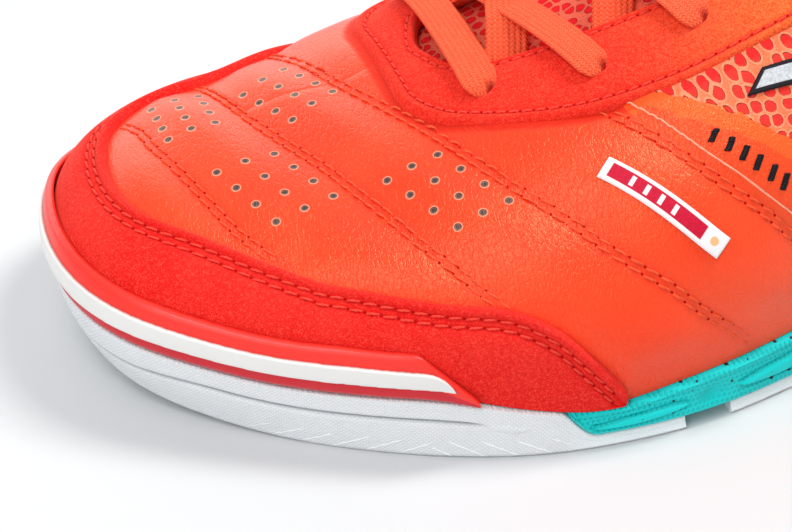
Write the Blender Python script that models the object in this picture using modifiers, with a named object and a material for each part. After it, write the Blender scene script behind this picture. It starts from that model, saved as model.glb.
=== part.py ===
"""Indoor soccer shoe, left foot, as separate solids on one last.

Lengths are in metres, +Z is up, the toe points along -X and the inner
(medial) side is +Y. The sole stands on the plane Z = 0.
"""
import math

import bmesh
import bpy
import numpy as np

# Driving sizes of the last and sole
SHOE_LENGTH = 0.286
BALL_WIDTH = 0.104
INSTEP_HEIGHT = 0.090
COLLAR_HEIGHT = 0.084
HEEL_STACK = 0.0218
TOE_SPRING = 0.0055
TOE_SPRING_LENGTH = 0.040
TOE_UNDERCUT_LENGTH = 0.0856
TOE_SPINE = 0.040
HEEL_SPINE = 0.042
SIDE_FULLNESS = 0.00165
LATERAL_POWER = 2.32
MEDIAL_POWER = 2.44

# Walls and clearances
GAP = 0.0003
OVERLAY_GAP = 0.00045
UPPER_WALL = 0.0018
COLLAR_PAD = 0.0050
COLLAR_PAD_DEPTH = 0.022
COLLAR_PAD_RUN = 0.012
SUEDE = 0.0010
TONGUE_THICKNESS = 0.0030
INSOLE_THICKNESS = 0.0040
BUMPER_THICKNESS = 0.0014
STRIPE_THICKNESS = 0.0005
VAMP_INSET = 0.0004
TOE_TUCK = 0.0014

# Overlays along the foot, measured from the toe
TOE_CAP_END = 0.091
BUMPER_END = 0.0635
BUMPER_HEIGHT = 0.0092
BUMPER_TAPER = 0.012
BUMPER_FOOT = 0.03
STRIPE_LOW = 0.385
STRIPE_HIGH = 0.71
STRIPE_END = 0.0600
STRIPE_TAPER = 0.0050
EYESTAY_FRONT = 0.065
THROAT_FRONT = 0.073
THROAT_STEP = 0.0035
EYESTAY_END = 0.178
TONGUE_FRONT = 0.079
TONGUE_END = 0.197

# Sole unit
SOLE_FLARE = 0.0017
TOE_UNDERCUT = 0.0030
POD_THICKNESS = 0.0027
MIDSOLE_FRONT = 0.0780
CUP_SLOPE = 0.008
FOREFOOT_POD_END = 0.1035
BALL_POD_START = 0.1135
BALL_POD_END = 0.152
HEEL_POD_START = 0.196
ARCH_RISE = 0.0038
INCISION = 0.0005
RIB_DEPTH = 0.0006
TREAD_DEPTH = 0.0012
TREAD_WIDTH = 0.0022
TREAD_PITCH = 0.0110
TREAD_SLANT = math.radians(8)
EDGE_LEDGE = 0.0010
EDGE_ROUND = 0.0010
MIDSOLE_BITE = 0.0035

# Laces
LACE_WIDTH = 0.0080
LACE_THICKNESS = 0.0013
LACE_SINK = 0.0030
LACE_INSIDE = 0.0045
LACE_BEHIND = 0.0065
LACE_CLIMB = 0.25
LACE_CROSS = 0.42
LACE_JOIN = 0.8
LACE_STEPS = 13
EYELET_SETBACKS = (0.0101, 0.0113, 0.0090, 0.0085, 0.0085, 0.0085)
FIRST_EYELET = 0.0785
EYELET_PITCH = 0.0192
EYELET_PAIRS = len(EYELET_SETBACKS)

# Facets
ROWS = 11
SIDE_STATIONS = 24
STATION_SPACING = 0.0032
WELD = 2e-5
TOE_STATIONS = 12
HEEL_STATIONS = 9

# Sole outline: share of the length from the toe, share of the ball width to the medial side
OUTLINE = [
    (0.985, -0.150), (0.955, -0.258), (0.900, -0.340), (0.800, -0.375), (0.700, -0.385),
    (0.600, -0.407), (0.500, -0.440), (0.400, -0.509), (0.330, -0.528), (0.260, -0.512),
    (0.190, -0.455), (0.120, -0.364), (0.060, -0.260), (0.020, -0.160), (0.000, -0.011),
    (0.012, 0.200), (0.040, 0.305), (0.090, 0.390), (0.150, 0.430), (0.220, 0.455),
    (0.290, 0.465), (0.360, 0.445), (0.440, 0.385), (0.520, 0.325), (0.600, 0.300),
    (0.700, 0.305), (0.800, 0.325), (0.900, 0.315), (0.955, 0.258), (0.985, 0.160),
    (1.000, 0.010),
]

# Ridge over the foot: share of the length, share of the instep height
RIDGE = [
    (0.00, 0.40), (0.14, 0.433), (0.21, 0.494), (0.297, 0.605), (0.385, 0.722), (0.49, 0.867),
    (0.594, 1.00), (0.63, 1.08), (0.67, 1.22), (0.70, 1.33), (0.80, 1.45), (1.00, 1.50),
]

# Ridge sideways: share of the length, share of the ball width
RIDGE_SWAY = [(0.14, 0.156), (0.28, 0.096), (0.42, 0.036), (0.70, 0.008), (1.00, -0.012)]

# Edge where upper meets sole, without the toe spring: share of the length, share of the heel stack
SOLE_EDGE = [
    (0.000, 0.568), (0.050, 0.608), (0.105, 0.607), (0.157, 0.603), (0.210, 0.577),
    (0.255, 0.461), (0.297, 0.385), (0.367, 0.495), (0.455, 0.583), (0.594, 0.725),
    (0.800, 0.900), (1.000, 1.00),
]

# Footbed along the middle: share of the length, share of the heel stack
FOOTBED = [
    (0.000, 0.570), (0.050, 0.620), (0.105, 0.620), (0.157, 0.571), (0.200, 0.533),
    (0.290, 0.486), (0.367, 0.500), (0.455, 0.580), (0.594, 0.720), (1.000, 0.940),
]

# Throat: share of the length, share of the ball width for the half opening
THROAT = [(0.255, 0.00), (0.264, 0.075), (0.280, 0.118), (0.31, 0.138), (0.40, 0.150), (0.62, 0.175)]

# Topline: share of the length, share of the collar height
TOPLINE = [
    (0.00, 2.00), (0.58, 2.00), (0.615, 1.17), (0.650, 1.03), (0.700, 0.90),
    (0.760, 0.815), (0.830, 0.84), (0.910, 0.94), (1.00, 1.00),
]

# Toe cap rear edge: share of the cap's length, share of the rib on the lateral and medial side
CAP_EDGE = [
    (0.00, 0.550, 0.550), (0.15, 0.540, 0.570), (0.34, 0.480, 0.690), (0.46, 0.430, 0.640),
    (0.64, 0.345, 0.420), (0.80, 0.285, 0.310), (0.87, 0.215, 0.230), (0.93, 0.130, 0.140),
    (1.00, 0.030, 0.030),
]

# Eyestay outer edge: share of the length, share of the ball width for the half width
EYESTAY = [
    (0.227, 0.140), (0.240, 0.205), (0.256, 0.240), (0.278, 0.275), (0.310, 0.308),
    (0.370, 0.323), (0.440, 0.300), (0.520, 0.272), (0.620, 0.262),
]

# Tongue: share of the length, share of the ball width for the half width
TONGUE = [(0.276, 0.17), (0.30, 0.24), (0.42, 0.27), (0.56, 0.25), (0.66, 0.245), (0.69, 0.19)]

# Side of the forefoot cup and of the pads: share of the height, move out in incision depths
CUP_SIDE = [(0.12, 0), (0.32, 0), (0.54, 0), (0.57, -1), (0.61, -1), (0.64, 0), (0.82, 0), (1.00, 0)]
PAD_SIDE = [(0.30, 0), (1.00, 0)]

# Side of the midsole: share of the height, move out in rib depths
MIDSOLE_SIDE = [(0.00, 0), (0.12, 1), (0.30, 1), (0.36, -1), (0.62, -1), (0.69, 1), (0.90, 1), (1.00, 0)]


def curve(table, x, column=1, length=SHOE_LENGTH):
    """Smooth curve through a table's rows: cubic pieces with the slopes of the neighbours."""
    rows = np.array(table, float)
    s, v = rows[:, 0] * length, rows[:, column]
    slope = np.gradient(v, s)
    x = np.clip(x, s[0], s[-1])
    i = np.clip(np.searchsorted(s, x, side="right") - 1, 0, len(s) - 2)
    h = s[i + 1] - s[i]
    t = (x - s[i]) / h
    first = v[i] * (1 + 2 * t) + h * slope[i] * t
    second = v[i + 1] * (3 - 2 * t) - h * slope[i + 1] * (1 - t)
    return (1 - t) ** 2 * first + t ** 2 * second


def closed_spline(points, count):
    """Periodic cubic spline through the points; its parameter is the root of the chord."""
    n = len(points)
    step = np.linalg.norm(np.roll(points, -1, 0) - points, axis=1) ** 0.5
    before = np.roll(step, 1)
    k = np.arange(n)
    matrix = np.zeros((n, n))
    matrix[k, k] = 2 * (step + before)
    matrix[k, (k + 1) % n] = step
    matrix[k, (k - 1) % n] = before
    lift = (np.roll(points, -1, 0) - points) / step[:, None]
    bend = np.linalg.solve(matrix, 6 * (lift - np.roll(lift, 1, 0)))
    start = np.r_[0, np.cumsum(step)]
    at = np.linspace(0, start[-1], count, endpoint=False)
    i = np.clip(np.searchsorted(start, at, side="right") - 1, 0, n - 1)
    j = (i + 1) % n
    h = step[i, None]
    b = at[:, None] - start[i, None]
    a = h - b
    cubic = (bend[i] * a ** 3 + bend[j] * b ** 3) / (6 * h)
    return cubic + (points[i] / h - bend[i] * h / 6) * a + (points[j] / h - bend[j] * h / 6) * b


DENSE = closed_spline(np.array(OUTLINE) * (SHOE_LENGTH, BALL_WIDTH), 1440)
TIP = int(np.argmin(DENSE[:, 0]))
REAR = int(np.argmax(DENSE[:, 0]))
LATERAL = np.roll(DENSE, -REAR, 0)[: (TIP - REAR) % len(DENSE)]
MEDIAL = np.roll(DENSE, -TIP, 0)[: (REAR - TIP) % len(DENSE)]
CENTRE = (DENSE.min(0) + DENSE.max(0)) / 2
LACE_LEVEL = OVERLAY_GAP + SUEDE + 2 * GAP + LACE_THICKNESS / 2


def spring(x):
    """Lift of the toe: a parabola from the ball to the tip."""
    return TOE_SPRING * np.clip(1 - x / TOE_SPRING_LENGTH, 0, None) ** 2


def sole_edge(x):
    """Height at which the upper meets the sole unit."""
    return curve(SOLE_EDGE, x) * HEEL_STACK + spring(x)


def bed(x, share):
    """Top of the sole unit: its edge at share 0, the footbed's middle at share 1."""
    middle = curve(FOOTBED, x) * HEEL_STACK + spring(x)
    return sole_edge(x) * (1 - share) + middle * share


def ridge(x):
    """Height of the last's ridge."""
    return curve(RIDGE, x) * INSTEP_HEIGHT


def sway(x):
    """Sideways place of the last's ridge."""
    return curve(RIDGE_SWAY, x) * BALL_WIDTH


def master_stations():
    """Stations along the foot that every piece shares, with the ends of the overlays in them."""
    fixed = np.array([
        TOE_SPINE, BUMPER_END, EYESTAY_FRONT, EYESTAY_FRONT + THROAT_STEP, THROAT_FRONT,
        THROAT_FRONT + THROAT_STEP, MIDSOLE_FRONT + MIDSOLE_BITE, TONGUE_FRONT, TOE_CAP_END,
        EYESTAY_END, (EYESTAY_END + TONGUE_END) / 2, TONGUE_END, SHOE_LENGTH - HEEL_SPINE,
    ])
    even = np.linspace(TOE_SPINE, SHOE_LENGTH - HEEL_SPINE, SIDE_STATIONS)
    free = even[np.abs(even[:, None] - fixed).min(1) > STATION_SPACING]
    return np.unique(np.r_[fixed, free])


def between(start, end):
    """The shared stations from one place on the foot to another."""
    inside = STATIONS[(STATIONS > start + GAP) & (STATIONS < end - GAP)]
    return np.r_[start, inside, end]


class Feet:
    """Feet of ribs on the sole outline, with the spine point that each rib rises to."""

    def __init__(self, foot):
        self.foot = foot
        x = np.clip(foot[:, 0], TOE_SPINE, SHOE_LENGTH - HEEL_SPINE)
        self.spine = np.c_[x, sway(x)]
        self.reach = np.linalg.norm(self.spine - foot, axis=1)[:, None]

    @classmethod
    def on_side(cls, x, medial):
        """Feet at stations x, each on the medial or the lateral side."""
        lateral_y = np.interp(x, LATERAL[::-1, 0], LATERAL[::-1, 1])
        medial_y = np.interp(x, MEDIAL[:, 0], MEDIAL[:, 1])
        return cls(np.c_[x, np.where(medial, medial_y, lateral_y)])


class Loop(Feet):
    """Feet from the rear on the lateral side, round the toe and back on the medial side.

    The toe and the heel are rounded by fans of feet where the loop reaches them.
    """

    def __init__(self, stations, toe=False, heel=False):
        lateral = Feet.on_side(stations[::-1], False).foot
        medial = Feet.on_side(stations, True).foot
        parts = [lateral, medial]
        if toe:
            parts.insert(1, self.fan(lateral[-1], medial[0], TOE_STATIONS))
        if heel:
            parts.append(self.fan(medial[-1], lateral[0], HEEL_STATIONS))
        super().__init__(np.vstack(parts))
        self.closed = heel
        self.apart = None if toe else len(lateral) - 1
        near = np.argmin(((DENSE[None] - self.foot[:, None]) ** 2).sum(2), axis=1)
        along = np.roll(DENSE, -3, 0)[near] - np.roll(DENSE, 3, 0)[near]
        out = np.c_[-along[:, 1], along[:, 0]]
        front = [len(lateral) - 1, len(lateral)] * (not toe)
        ends = np.array(front + [0, len(self.foot) - 1] * (not heel), int)
        out[ends, 0] = 0
        self.out = out / np.linalg.norm(out, axis=1)[:, None]

    @staticmethod
    def fan(first, last, count):
        """Feet evenly spaced along the outline between two of its points."""
        i = np.argmin(((DENSE - first) ** 2).sum(1))
        j = np.argmin(((DENSE - last) ** 2).sum(1))
        part = np.roll(DENSE, -i, 0)[: (j - i) % len(DENSE)]
        walk = np.r_[0, np.cumsum(np.linalg.norm(np.diff(part, axis=0), axis=1))]
        at = np.linspace(0, walk[-1], count + 2)[1:-1]
        return np.c_[np.interp(at, walk, part[:, 0]), np.interp(at, walk, part[:, 1])]


def rib(feet, share):
    """Inward run and height of each rib at a share of its quarter turn (0 sole, 1 ridge)."""
    blend = np.clip((feet.foot[:, 1] - feet.spine[:, 1]) / (0.77 * BALL_WIDTH) + 0.5, 0, 1)
    power = (LATERAL_POWER * (1 - blend) + MEDIAL_POWER * blend)[:, None]
    turn = np.clip(share, 1e-6, 1 - 1e-6) * math.pi / 2
    base = sole_edge(feet.foot[:, 0])[:, None]
    top = ridge(feet.spine[:, 0])[:, None]
    fullness = 1.5 * SIDE_FULLNESS * np.sin(2 * turn) * np.cos(turn) ** 2
    run = feet.reach * (1 - np.cos(turn) ** (2 / power)) - fullness
    return run, base + (top - base) * np.sin(turn) ** (2 / power)


def inset(feet, share):
    """How far the leather lies inside the nominal last: more under the toe bumper."""
    toe = np.clip((TOE_CAP_END - feet.foot[:, 0]) / (TOE_CAP_END - BUMPER_END), 0, 1)[:, None]
    return VAMP_INSET + TOE_TUCK * toe * np.clip(1 - share / 0.4, 0, 1)


def last_surface(feet, share, proud=0.0):
    """Points of the upper at the shares of each rib, moved out along the rib's own normal."""
    share = np.broadcast_to(share, (len(feet.foot), np.shape(share)[-1]))
    run, height = rib(feet, share)
    run_a, height_a = rib(feet, np.clip(share - 0.01, 0, 1))
    run_b, height_b = rib(feet, np.clip(share + 0.01, 0, 1))
    length = np.hypot(run_b - run_a, height_b - height_a)
    move = np.asarray(proud).reshape(-1, 1) - inset(feet, share)
    run = np.minimum(run - move * (height_b - height_a) / length, feet.reach)
    height = height + move * (run_b - run_a) / length
    inward = (feet.spine - feet.foot) / feet.reach
    plan = feet.foot[:, None] + inward[:, None] * run[..., None]
    return np.dstack([plan, height])


def share_where(feet, test):
    """First share of each rib at which the test on its points turns true, or 1."""
    share = np.linspace(0, 1, 500)
    hit = test(last_surface(feet, share[None]))
    return np.where(hit.any(1), share[np.argmax(hit, axis=1)], 1.0)


def opening_share(feet):
    """Where the upper ends: at the throat's edge in front, at the topline behind."""
    half = (curve(THROAT, feet.foot[:, 0]) * BALL_WIDTH)[:, None]
    high = (curve(TOPLINE, feet.foot[:, 0]) * COLLAR_HEIGHT)[:, None]
    along = feet.foot[:, :1]
    in_throat = (along > THROAT_FRONT + GAP) & (along < TONGUE_END)
    middle = feet.spine[:, 1:2]
    return share_where(
        feet, lambda p: (in_throat & (abs(p[..., 1] - middle) <= half)) | (p[..., 2] >= high)
    )


def width_share(feet, half):
    """Share of each rib at which it comes within a half width of the ridge."""
    return share_where(feet, lambda p: abs(p[..., 1] - feet.spine[:, 1:2]) <= half[:, None])


def grid_object(name, points, wrap, material, collection, apart=None):
    """Object from a grid of points; the first axis closes on itself if wrap is set.

    The row of faces numbered apart is left out, where two sides only meet at the ridge.
    """
    n, m = points.shape[:2]
    grid = np.arange(n * m).reshape(n, m)
    after = np.roll(grid, -1, axis=0)
    keep = np.arange(n) != apart
    keep[-1] &= wrap
    grid, after = grid[keep], after[keep]
    faces = np.stack([grid[:, :-1], after[:, :-1], after[:, 1:], grid[:, 1:]], -1).reshape(-1, 4)
    world = points.reshape(-1, 3) - (CENTRE[0], CENTRE[1], 0)
    mesh = bpy.data.meshes.new(name)
    mesh.from_pydata(world.tolist(), [], faces.tolist())
    obj = bpy.data.objects.new(name, mesh)
    collection.objects.link(obj)
    obj.data.materials.append(material)
    return obj


def weld(obj, close_ends=False):
    """Merge points that coincide, fill flat ends and turn the faces the same way."""
    bm = bmesh.new()
    bm.from_mesh(obj.data)
    bmesh.ops.remove_doubles(bm, verts=bm.verts, dist=WELD)
    if close_ends:
        bmesh.ops.holes_fill(bm, edges=[e for e in bm.edges if e.is_boundary], sides=0)
    bmesh.ops.recalc_face_normals(bm, faces=bm.faces)
    bm.to_mesh(obj.data)
    bm.free()
    obj.data.shade_smooth()
    obj.data.set_sharp_from_angle(angle=math.radians(40))


def shell(name, loop, low, high, proud, thickness, rows, material, collection, weight=None):
    """Patch of the last between two shares of each rib, thickened inward from its outer face."""
    steps = np.linspace(0, 1, rows)[None]
    points = last_surface(loop, low[:, None] + (high - low)[:, None] * steps, proud)
    obj = grid_object(name, points, loop.closed, material, collection, loop.apart)
    if weight is not None:
        group = obj.vertex_groups.new(name="wall")
        for i, value in enumerate(weight(loop, points).reshape(-1)):
            group.add([i], float(value), "REPLACE")
    weld(obj)
    face_out(obj)
    wall = obj.modifiers.new("Wall", "SOLIDIFY")
    wall.thickness = thickness
    wall.offset = -1
    if weight is not None:
        wall.vertex_group = "wall"
    return obj


def face_out(obj):
    """Turn an open patch's faces away from the inside of the shoe."""
    bm = bmesh.new()
    bm.from_mesh(obj.data)
    away = sum(
        f.calc_area() * (f.normal.y * f.calc_center_median().y + f.normal.z * f.calc_center_median().z)
        for f in bm.faces
    )
    if away < 0:
        bmesh.ops.reverse_faces(bm, faces=bm.faces)
    bm.to_mesh(obj.data)
    bm.free()


def block(name, loop, rings, material, collection):
    """Closed body from rings round the loop: a move out, a share to the spine and a height each."""
    columns = []
    for out, share, height in rings:
        edge = loop.foot + loop.out * out(loop.foot[:, 0])[:, None]
        plan = edge + (loop.spine - edge) * share
        columns.append(np.c_[plan, height(plan[:, 0])])
    obj = grid_object(name, np.stack(columns, 1), loop.closed, material, collection, loop.apart)
    weld(obj, close_ends=True)
    return obj


def cup_drop(x):
    """How far the forefoot cup has come down to pad thickness: 0 in front, 1 behind."""
    return 0.5 - 0.5 * np.cos(math.pi * np.clip((x - MIDSOLE_FRONT) / CUP_SLOPE, 0, 1))


def rubber_top(x, share):
    """Top of the pale rubber: up to the upper in front, pad thickness under the midsole."""
    return (bed(x, share) - GAP) * (1 - cup_drop(x)) + POD_THICKNESS * cup_drop(x)


def midsole_under(x, share):
    """Underside of the midsole: on the rubber, and raised at the arch."""
    at = np.clip((x - BALL_POD_END) / (HEEL_POD_START - BALL_POD_END), 0, 1)
    return rubber_top(x, share) + GAP + ARCH_RISE * np.sin(math.pi * at) ** 2


def flare(x, t):
    """Move of the sole's side out of the outline at a share of its height."""
    tuck = np.clip(1 - x / TOE_UNDERCUT_LENGTH, 0, None) ** 2
    bottom = SOLE_FLARE - (SOLE_FLARE + TOE_UNDERCUT) * tuck
    return bottom * (1 - t) ** 1.5 + EDGE_LEDGE * (1 - (1 - t) ** 1.5)


def rubber_pad(name, start, end, side, material, collection, toe=False, heel=False):
    """Pale rubber pad or cup with a rounded lower edge and a stepped side."""
    loop = Loop(between(start, end), toe, heel)

    def side_ring(t, step):
        return (
            lambda x: flare(x, t) + step * INCISION, 0,
            lambda x: spring(x) + t * (rubber_top(x, 0) - spring(x)),
        )

    under = [(lambda x: flare(x, 0) - EDGE_ROUND, share, spring) for share in (1, 0.6, 0.3, 0)]
    over = [(lambda x: flare(x, 1), share, lambda x, s=share: rubber_top(x, s)) for share in (0.3, 0.6, 1)]
    rings = under + [side_ring(t, step) for t, step in side] + over
    return block(name, loop, rings, material, collection)


def cut_tread(obj, start, end, cutters):
    """Cross grooves between the main lugs on the flat part of a pad.

    The exact solver leaves an open edge where a groove meets the pad's rounded rim.
    """
    count = int((end - start) / TREAD_PITCH) - 1
    first = (start + end - (count - 1) * TREAD_PITCH) / 2
    for i in range(count):
        bpy.ops.mesh.primitive_cube_add(size=1)
        bar = bpy.context.object
        bar.name = f"tread_cutter_{obj.name}_{i + 1}"
        bar.scale = (TREAD_WIDTH, 2 * BALL_WIDTH, 2 * TREAD_DEPTH)
        bar.location = (first + i * TREAD_PITCH - CENTRE[0], 0, 0)
        bar.rotation_euler = (0, 0, TREAD_SLANT)
        bar.hide_render = True
        bar.display_type = "WIRE"
        for owner in list(bar.users_collection):
            owner.objects.unlink(bar)
        cutters.objects.link(bar)
        cut = obj.modifiers.new(f"Groove {i + 1}", "BOOLEAN")
        cut.operation = "DIFFERENCE"
        cut.solver = "MANIFOLD"
        cut.object = bar


def on_last(x, aside, proud):
    """Points of the upper at stations x and sideways distances from the ridge."""
    feet = Feet.on_side(x, aside > 0)
    return last_surface(feet, width_share(feet, np.abs(aside))[:, None], proud)[:, 0]


def lace_run(start, end, low_start, hop):
    """Strip from one place to another over the last, as a grid of rings with closed ends.

    A place is a station and a sideways distance from the ridge. The strip starts low
    inside the throat if low_start is set, and hops over the other strip if hop is set.
    """
    t = np.linspace(0, 1, LACE_STEPS)
    x = start[0] + (end[0] - start[0]) * t
    aside = start[1] + (end[1] - start[1]) * t
    rise = np.clip(t / LACE_CLIMB, 0, 1)
    level = LACE_LEVEL - low_start * LACE_SINK * (1 - rise * rise * (3 - 2 * rise))
    middle_hop = np.clip(1 - ((t - LACE_CROSS) / LACE_CLIMB) ** 2, 0, None)
    level = level + hop * LACE_JOIN * LACE_THICKNESS * middle_hop
    near = LACE_WIDTH / 4
    middle = on_last(x, aside, level)
    ahead = on_last(x + near, aside, level) - on_last(x - near, aside, level)
    beside = on_last(x, aside + near, level) - on_last(x, aside - near, level)
    along = np.gradient(middle, axis=0)
    across = np.cross(np.cross(ahead, beside), along)
    across *= LACE_WIDTH / 2 / np.linalg.norm(across, axis=1)[:, None]
    up = np.cross(along, across)
    up *= LACE_THICKNESS / 2 / np.linalg.norm(up, axis=1)[:, None]
    ring = np.stack([middle - across - up, middle + across - up, middle + across + up, middle - across + up])
    caps = np.stack([middle] * len(ring))
    return np.concatenate([caps[:, :1], ring, caps[:, -1:]], axis=1)


def eyelet(i, side):
    """Station and sideways distance of an eyelet from the ridge."""
    x = FIRST_EYELET + i * EYELET_PITCH
    return x, side * (float(curve(THROAT, x)) * BALL_WIDTH + EYELET_SETBACKS[i])


def throat_edge(i, side):
    """Place inside the throat where a lace comes out from under the eyestay."""
    x = FIRST_EYELET + i * EYELET_PITCH + LACE_BEHIND
    return x, side * (float(curve(THROAT, x)) * BALL_WIDTH - LACE_INSIDE)


def material(name, color, roughness):
    """Plain Principled material."""
    mat = bpy.data.materials.new(name)
    mat.use_nodes = True
    shader = mat.node_tree.nodes["Principled BSDF"]
    shader.inputs["Base Color"].default_value = (*color, 1)
    shader.inputs["Roughness"].default_value = roughness
    shader.inputs["Metallic"].default_value = 0.0
    return mat


STATIONS = master_stations()


def collar_weight(loop, points):
    """Share of the padded collar's thickness: thin leather, thick along the topline behind."""
    thin = UPPER_WALL / COLLAR_PAD
    down = points[:, -1:, 2] - points[..., 2]
    near = np.clip(1 - down / COLLAR_PAD_DEPTH, 0, 1)
    behind = np.clip((loop.foot[:, 0] - TONGUE_END - 4 * GAP) / COLLAR_PAD_RUN, 0, 1)[:, None]
    return thin + (1 - thin) * np.sin(near * math.pi / 2) * behind


def make_upper(collection):
    """Leather upper: one hollow wall, open at throat, collar and underneath."""
    loop = Loop(STATIONS, toe=True, heel=True)
    zero = np.zeros(len(loop.foot))
    leather = material("leather", (0.90, 0.17, 0.05), 0.45)
    return shell("upper", loop, zero, opening_share(loop), 0, COLLAR_PAD, ROWS, leather, collection,
                 collar_weight)


def make_overlays(collection):
    """Suede toe cap and eyestay, rubber bumper and its stripe."""
    suede = material("suede", (0.80, 0.06, 0.03), 0.9)
    rubber = material("smooth_rubber", (0.90, 0.10, 0.06), 0.4)
    pale = material("stripe_rubber", (0.85, 0.83, 0.80), 0.4)

    loop = Loop(between(TOE_SPINE, TOE_CAP_END), toe=True)
    lateral = curve(CAP_EDGE, loop.foot[:, 0], 1, TOE_CAP_END)
    medial = curve(CAP_EDGE, loop.foot[:, 0], 2, TOE_CAP_END)
    high = np.where(loop.foot[:, 1] > 0, medial, lateral)
    shell("toe_cap", loop, 0 * high, high, OVERLAY_GAP + SUEDE, SUEDE, 7, suede, collection)

    loop = Loop(between(EYESTAY_FRONT, EYESTAY_END))
    low = width_share(loop, curve(EYESTAY, loop.foot[:, 0]) * BALL_WIDTH)
    shell("eyestay", loop, low, opening_share(loop), OVERLAY_GAP + SUEDE, SUEDE, 5, suede,
          collection)

    loop = Loop(between(TOE_SPINE, BUMPER_END), toe=True)
    taper = np.clip((BUMPER_END - loop.foot[:, 0]) / BUMPER_TAPER + 0.15, 0, 1)
    base = sole_edge(loop.foot[:, 0])

    def at_height(part):
        return share_where(loop, lambda p: p[..., 2] >= (base + BUMPER_HEIGHT * part)[:, None])

    level = OVERLAY_GAP + SUEDE + 2 * GAP + BUMPER_THICKNESS
    shell("toe_bumper", loop, at_height(BUMPER_FOOT * taper), at_height(taper), level,
          BUMPER_THICKNESS, 4, rubber, collection)
    loop = Loop(between(TOE_SPINE, STRIPE_END), toe=True)
    base = sole_edge(loop.foot[:, 0])
    narrow = np.clip((STRIPE_END - loop.foot[:, 0]) / STRIPE_TAPER + 0.1, 0, 1)
    shell("toe_stripe", loop, at_height(STRIPE_LOW),
          at_height(STRIPE_LOW + (STRIPE_HIGH - STRIPE_LOW) * narrow),
          level + GAP + STRIPE_THICKNESS, STRIPE_THICKNESS, 2, pale, collection)


def make_tongue(collection):
    """Tongue: a padded sheet under the throat that stands out above it."""
    loop = Loop(between(TONGUE_FRONT, TONGUE_END))
    low = width_share(loop, curve(TONGUE, loop.foot[:, 0]) * BALL_WIDTH)
    knit = material("tongue_mesh", (0.85, 0.20, 0.08), 0.8)
    shell("tongue", loop, low, np.ones(len(low)), -UPPER_WALL - 3 * GAP, TONGUE_THICKNESS, 6,
          knit, collection)


def make_insole(collection):
    """Footbed inside the upper, with a rounded upper edge."""
    loop = Loop(STATIONS, toe=True, heel=True)
    back = -(VAMP_INSET + TOE_TUCK + UPPER_WALL + 2 * GAP)
    foam = material("insole_foam", (0.08, 0.08, 0.09), 0.9)

    def ring(out, share, lift):
        return lambda x: 0 * x + out, share, lambda x: bed(x, share) + lift

    top = GAP + INSOLE_THICKNESS
    rings = [ring(back, s, GAP) for s in (1, 0.5, 0)]
    rings += [ring(back, 0, top - EDGE_ROUND), ring(back - EDGE_ROUND, 0, top)]
    rings += [ring(back - EDGE_ROUND, s, top) for s in (0.5, 1)]
    block("insole", loop, rings, foam, collection)


def make_sole(collection, cutters):
    """Foam midsole and three pale rubber pads: forefoot cup, ball and heel."""
    foam = material("midsole_foam", (0.02, 0.50, 0.50), 0.6)
    rubber = material("outsole_rubber", (0.85, 0.87, 0.90), 0.5)
    loop = Loop(between(MIDSOLE_FRONT + MIDSOLE_BITE, SHOE_LENGTH - HEEL_SPINE), heel=True)

    def side_ring(t, step):
        return (
            lambda x: flare(x, t) + step * RIB_DEPTH, 0,
            lambda x: midsole_under(x, 0) + t * (bed(x, 0) - GAP - midsole_under(x, 0)),
        )

    under = [
        (lambda x: flare(x, 0), share, lambda x, s=share: midsole_under(x, s)) for share in (1, 0.5)
    ]
    over = [
        (lambda x: flare(x, 1), share, lambda x, s=share: bed(x, s) - GAP) for share in (0.5, 1)
    ]
    rings = under + [side_ring(t, step) for t, step in MIDSOLE_SIDE] + over
    block("midsole", loop, rings, foam, collection)

    cup = rubber_pad("outsole_forefoot", TOE_SPINE, FOREFOOT_POD_END, CUP_SIDE, rubber, collection,
                     toe=True)
    ball = rubber_pad("outsole_ball", BALL_POD_START, BALL_POD_END, PAD_SIDE, rubber, collection)
    heel = rubber_pad("outsole_heel", HEEL_POD_START, SHOE_LENGTH - HEEL_SPINE, PAD_SIDE, rubber,
                      collection, heel=True)
    cut_tread(cup, FOREFOOT_POD_END - 4 * TREAD_PITCH, FOREFOOT_POD_END, cutters)
    cut_tread(ball, BALL_POD_START, BALL_POD_END, cutters)
    cut_tread(heel, HEEL_POD_START, SHOE_LENGTH - HEEL_SPINE / 2, cutters)


def make_laces(collection, cutters):
    """One straight bar, then a crossing of two joined strips between each pair of eyelets."""
    braid = material("lace_braid", (0.90, 0.24, 0.08), 0.8)
    bar = lace_run(eyelet(0, -1), eyelet(0, 1), 0, 0)
    weld(grid_object("lace_bar", bar, True, braid, collection))
    for i in range(EYELET_PAIRS - 1):
        lower = lace_run(throat_edge(i, 1), eyelet(i + 1, -1), 1, 0)
        upper = lace_run(throat_edge(i, -1), eyelet(i + 1, 1), 1, 1)
        cross = grid_object(f"lace_cross_{i + 1}", lower, True, braid, collection)
        other = grid_object(f"lace_over_{i + 1}", upper, True, braid, cutters)
        for strip in (cross, other):
            weld(strip)
        other.hide_render = True
        other.display_type = "WIRE"
        join = cross.modifiers.new("Joined strips", "BOOLEAN")
        join.operation = "UNION"
        join.solver = "EXACT"
        join.object = other


def main():
    for obj in list(bpy.data.objects):
        bpy.data.objects.remove(obj)
    shoe = bpy.data.collections.new("indoor_soccer_shoe")
    cutters = bpy.data.collections.new("cutters")
    for collection in (shoe, cutters):
        bpy.context.scene.collection.children.link(collection)
    make_sole(shoe, cutters)
    make_upper(shoe)
    make_insole(shoe)
    make_tongue(shoe)
    make_overlays(shoe)
    make_laces(shoe, cutters)


main()
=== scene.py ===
"""Indoor soccer shoe: the look of the left shoe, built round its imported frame.

Lengths are in metres. Surfaces are worked out in the last's own coordinates: x from the
toe tip to the heel, y to the inner side, z up. Meshes are moved by CENTRE, so that they
lie where the frame does.
"""
import math

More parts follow.
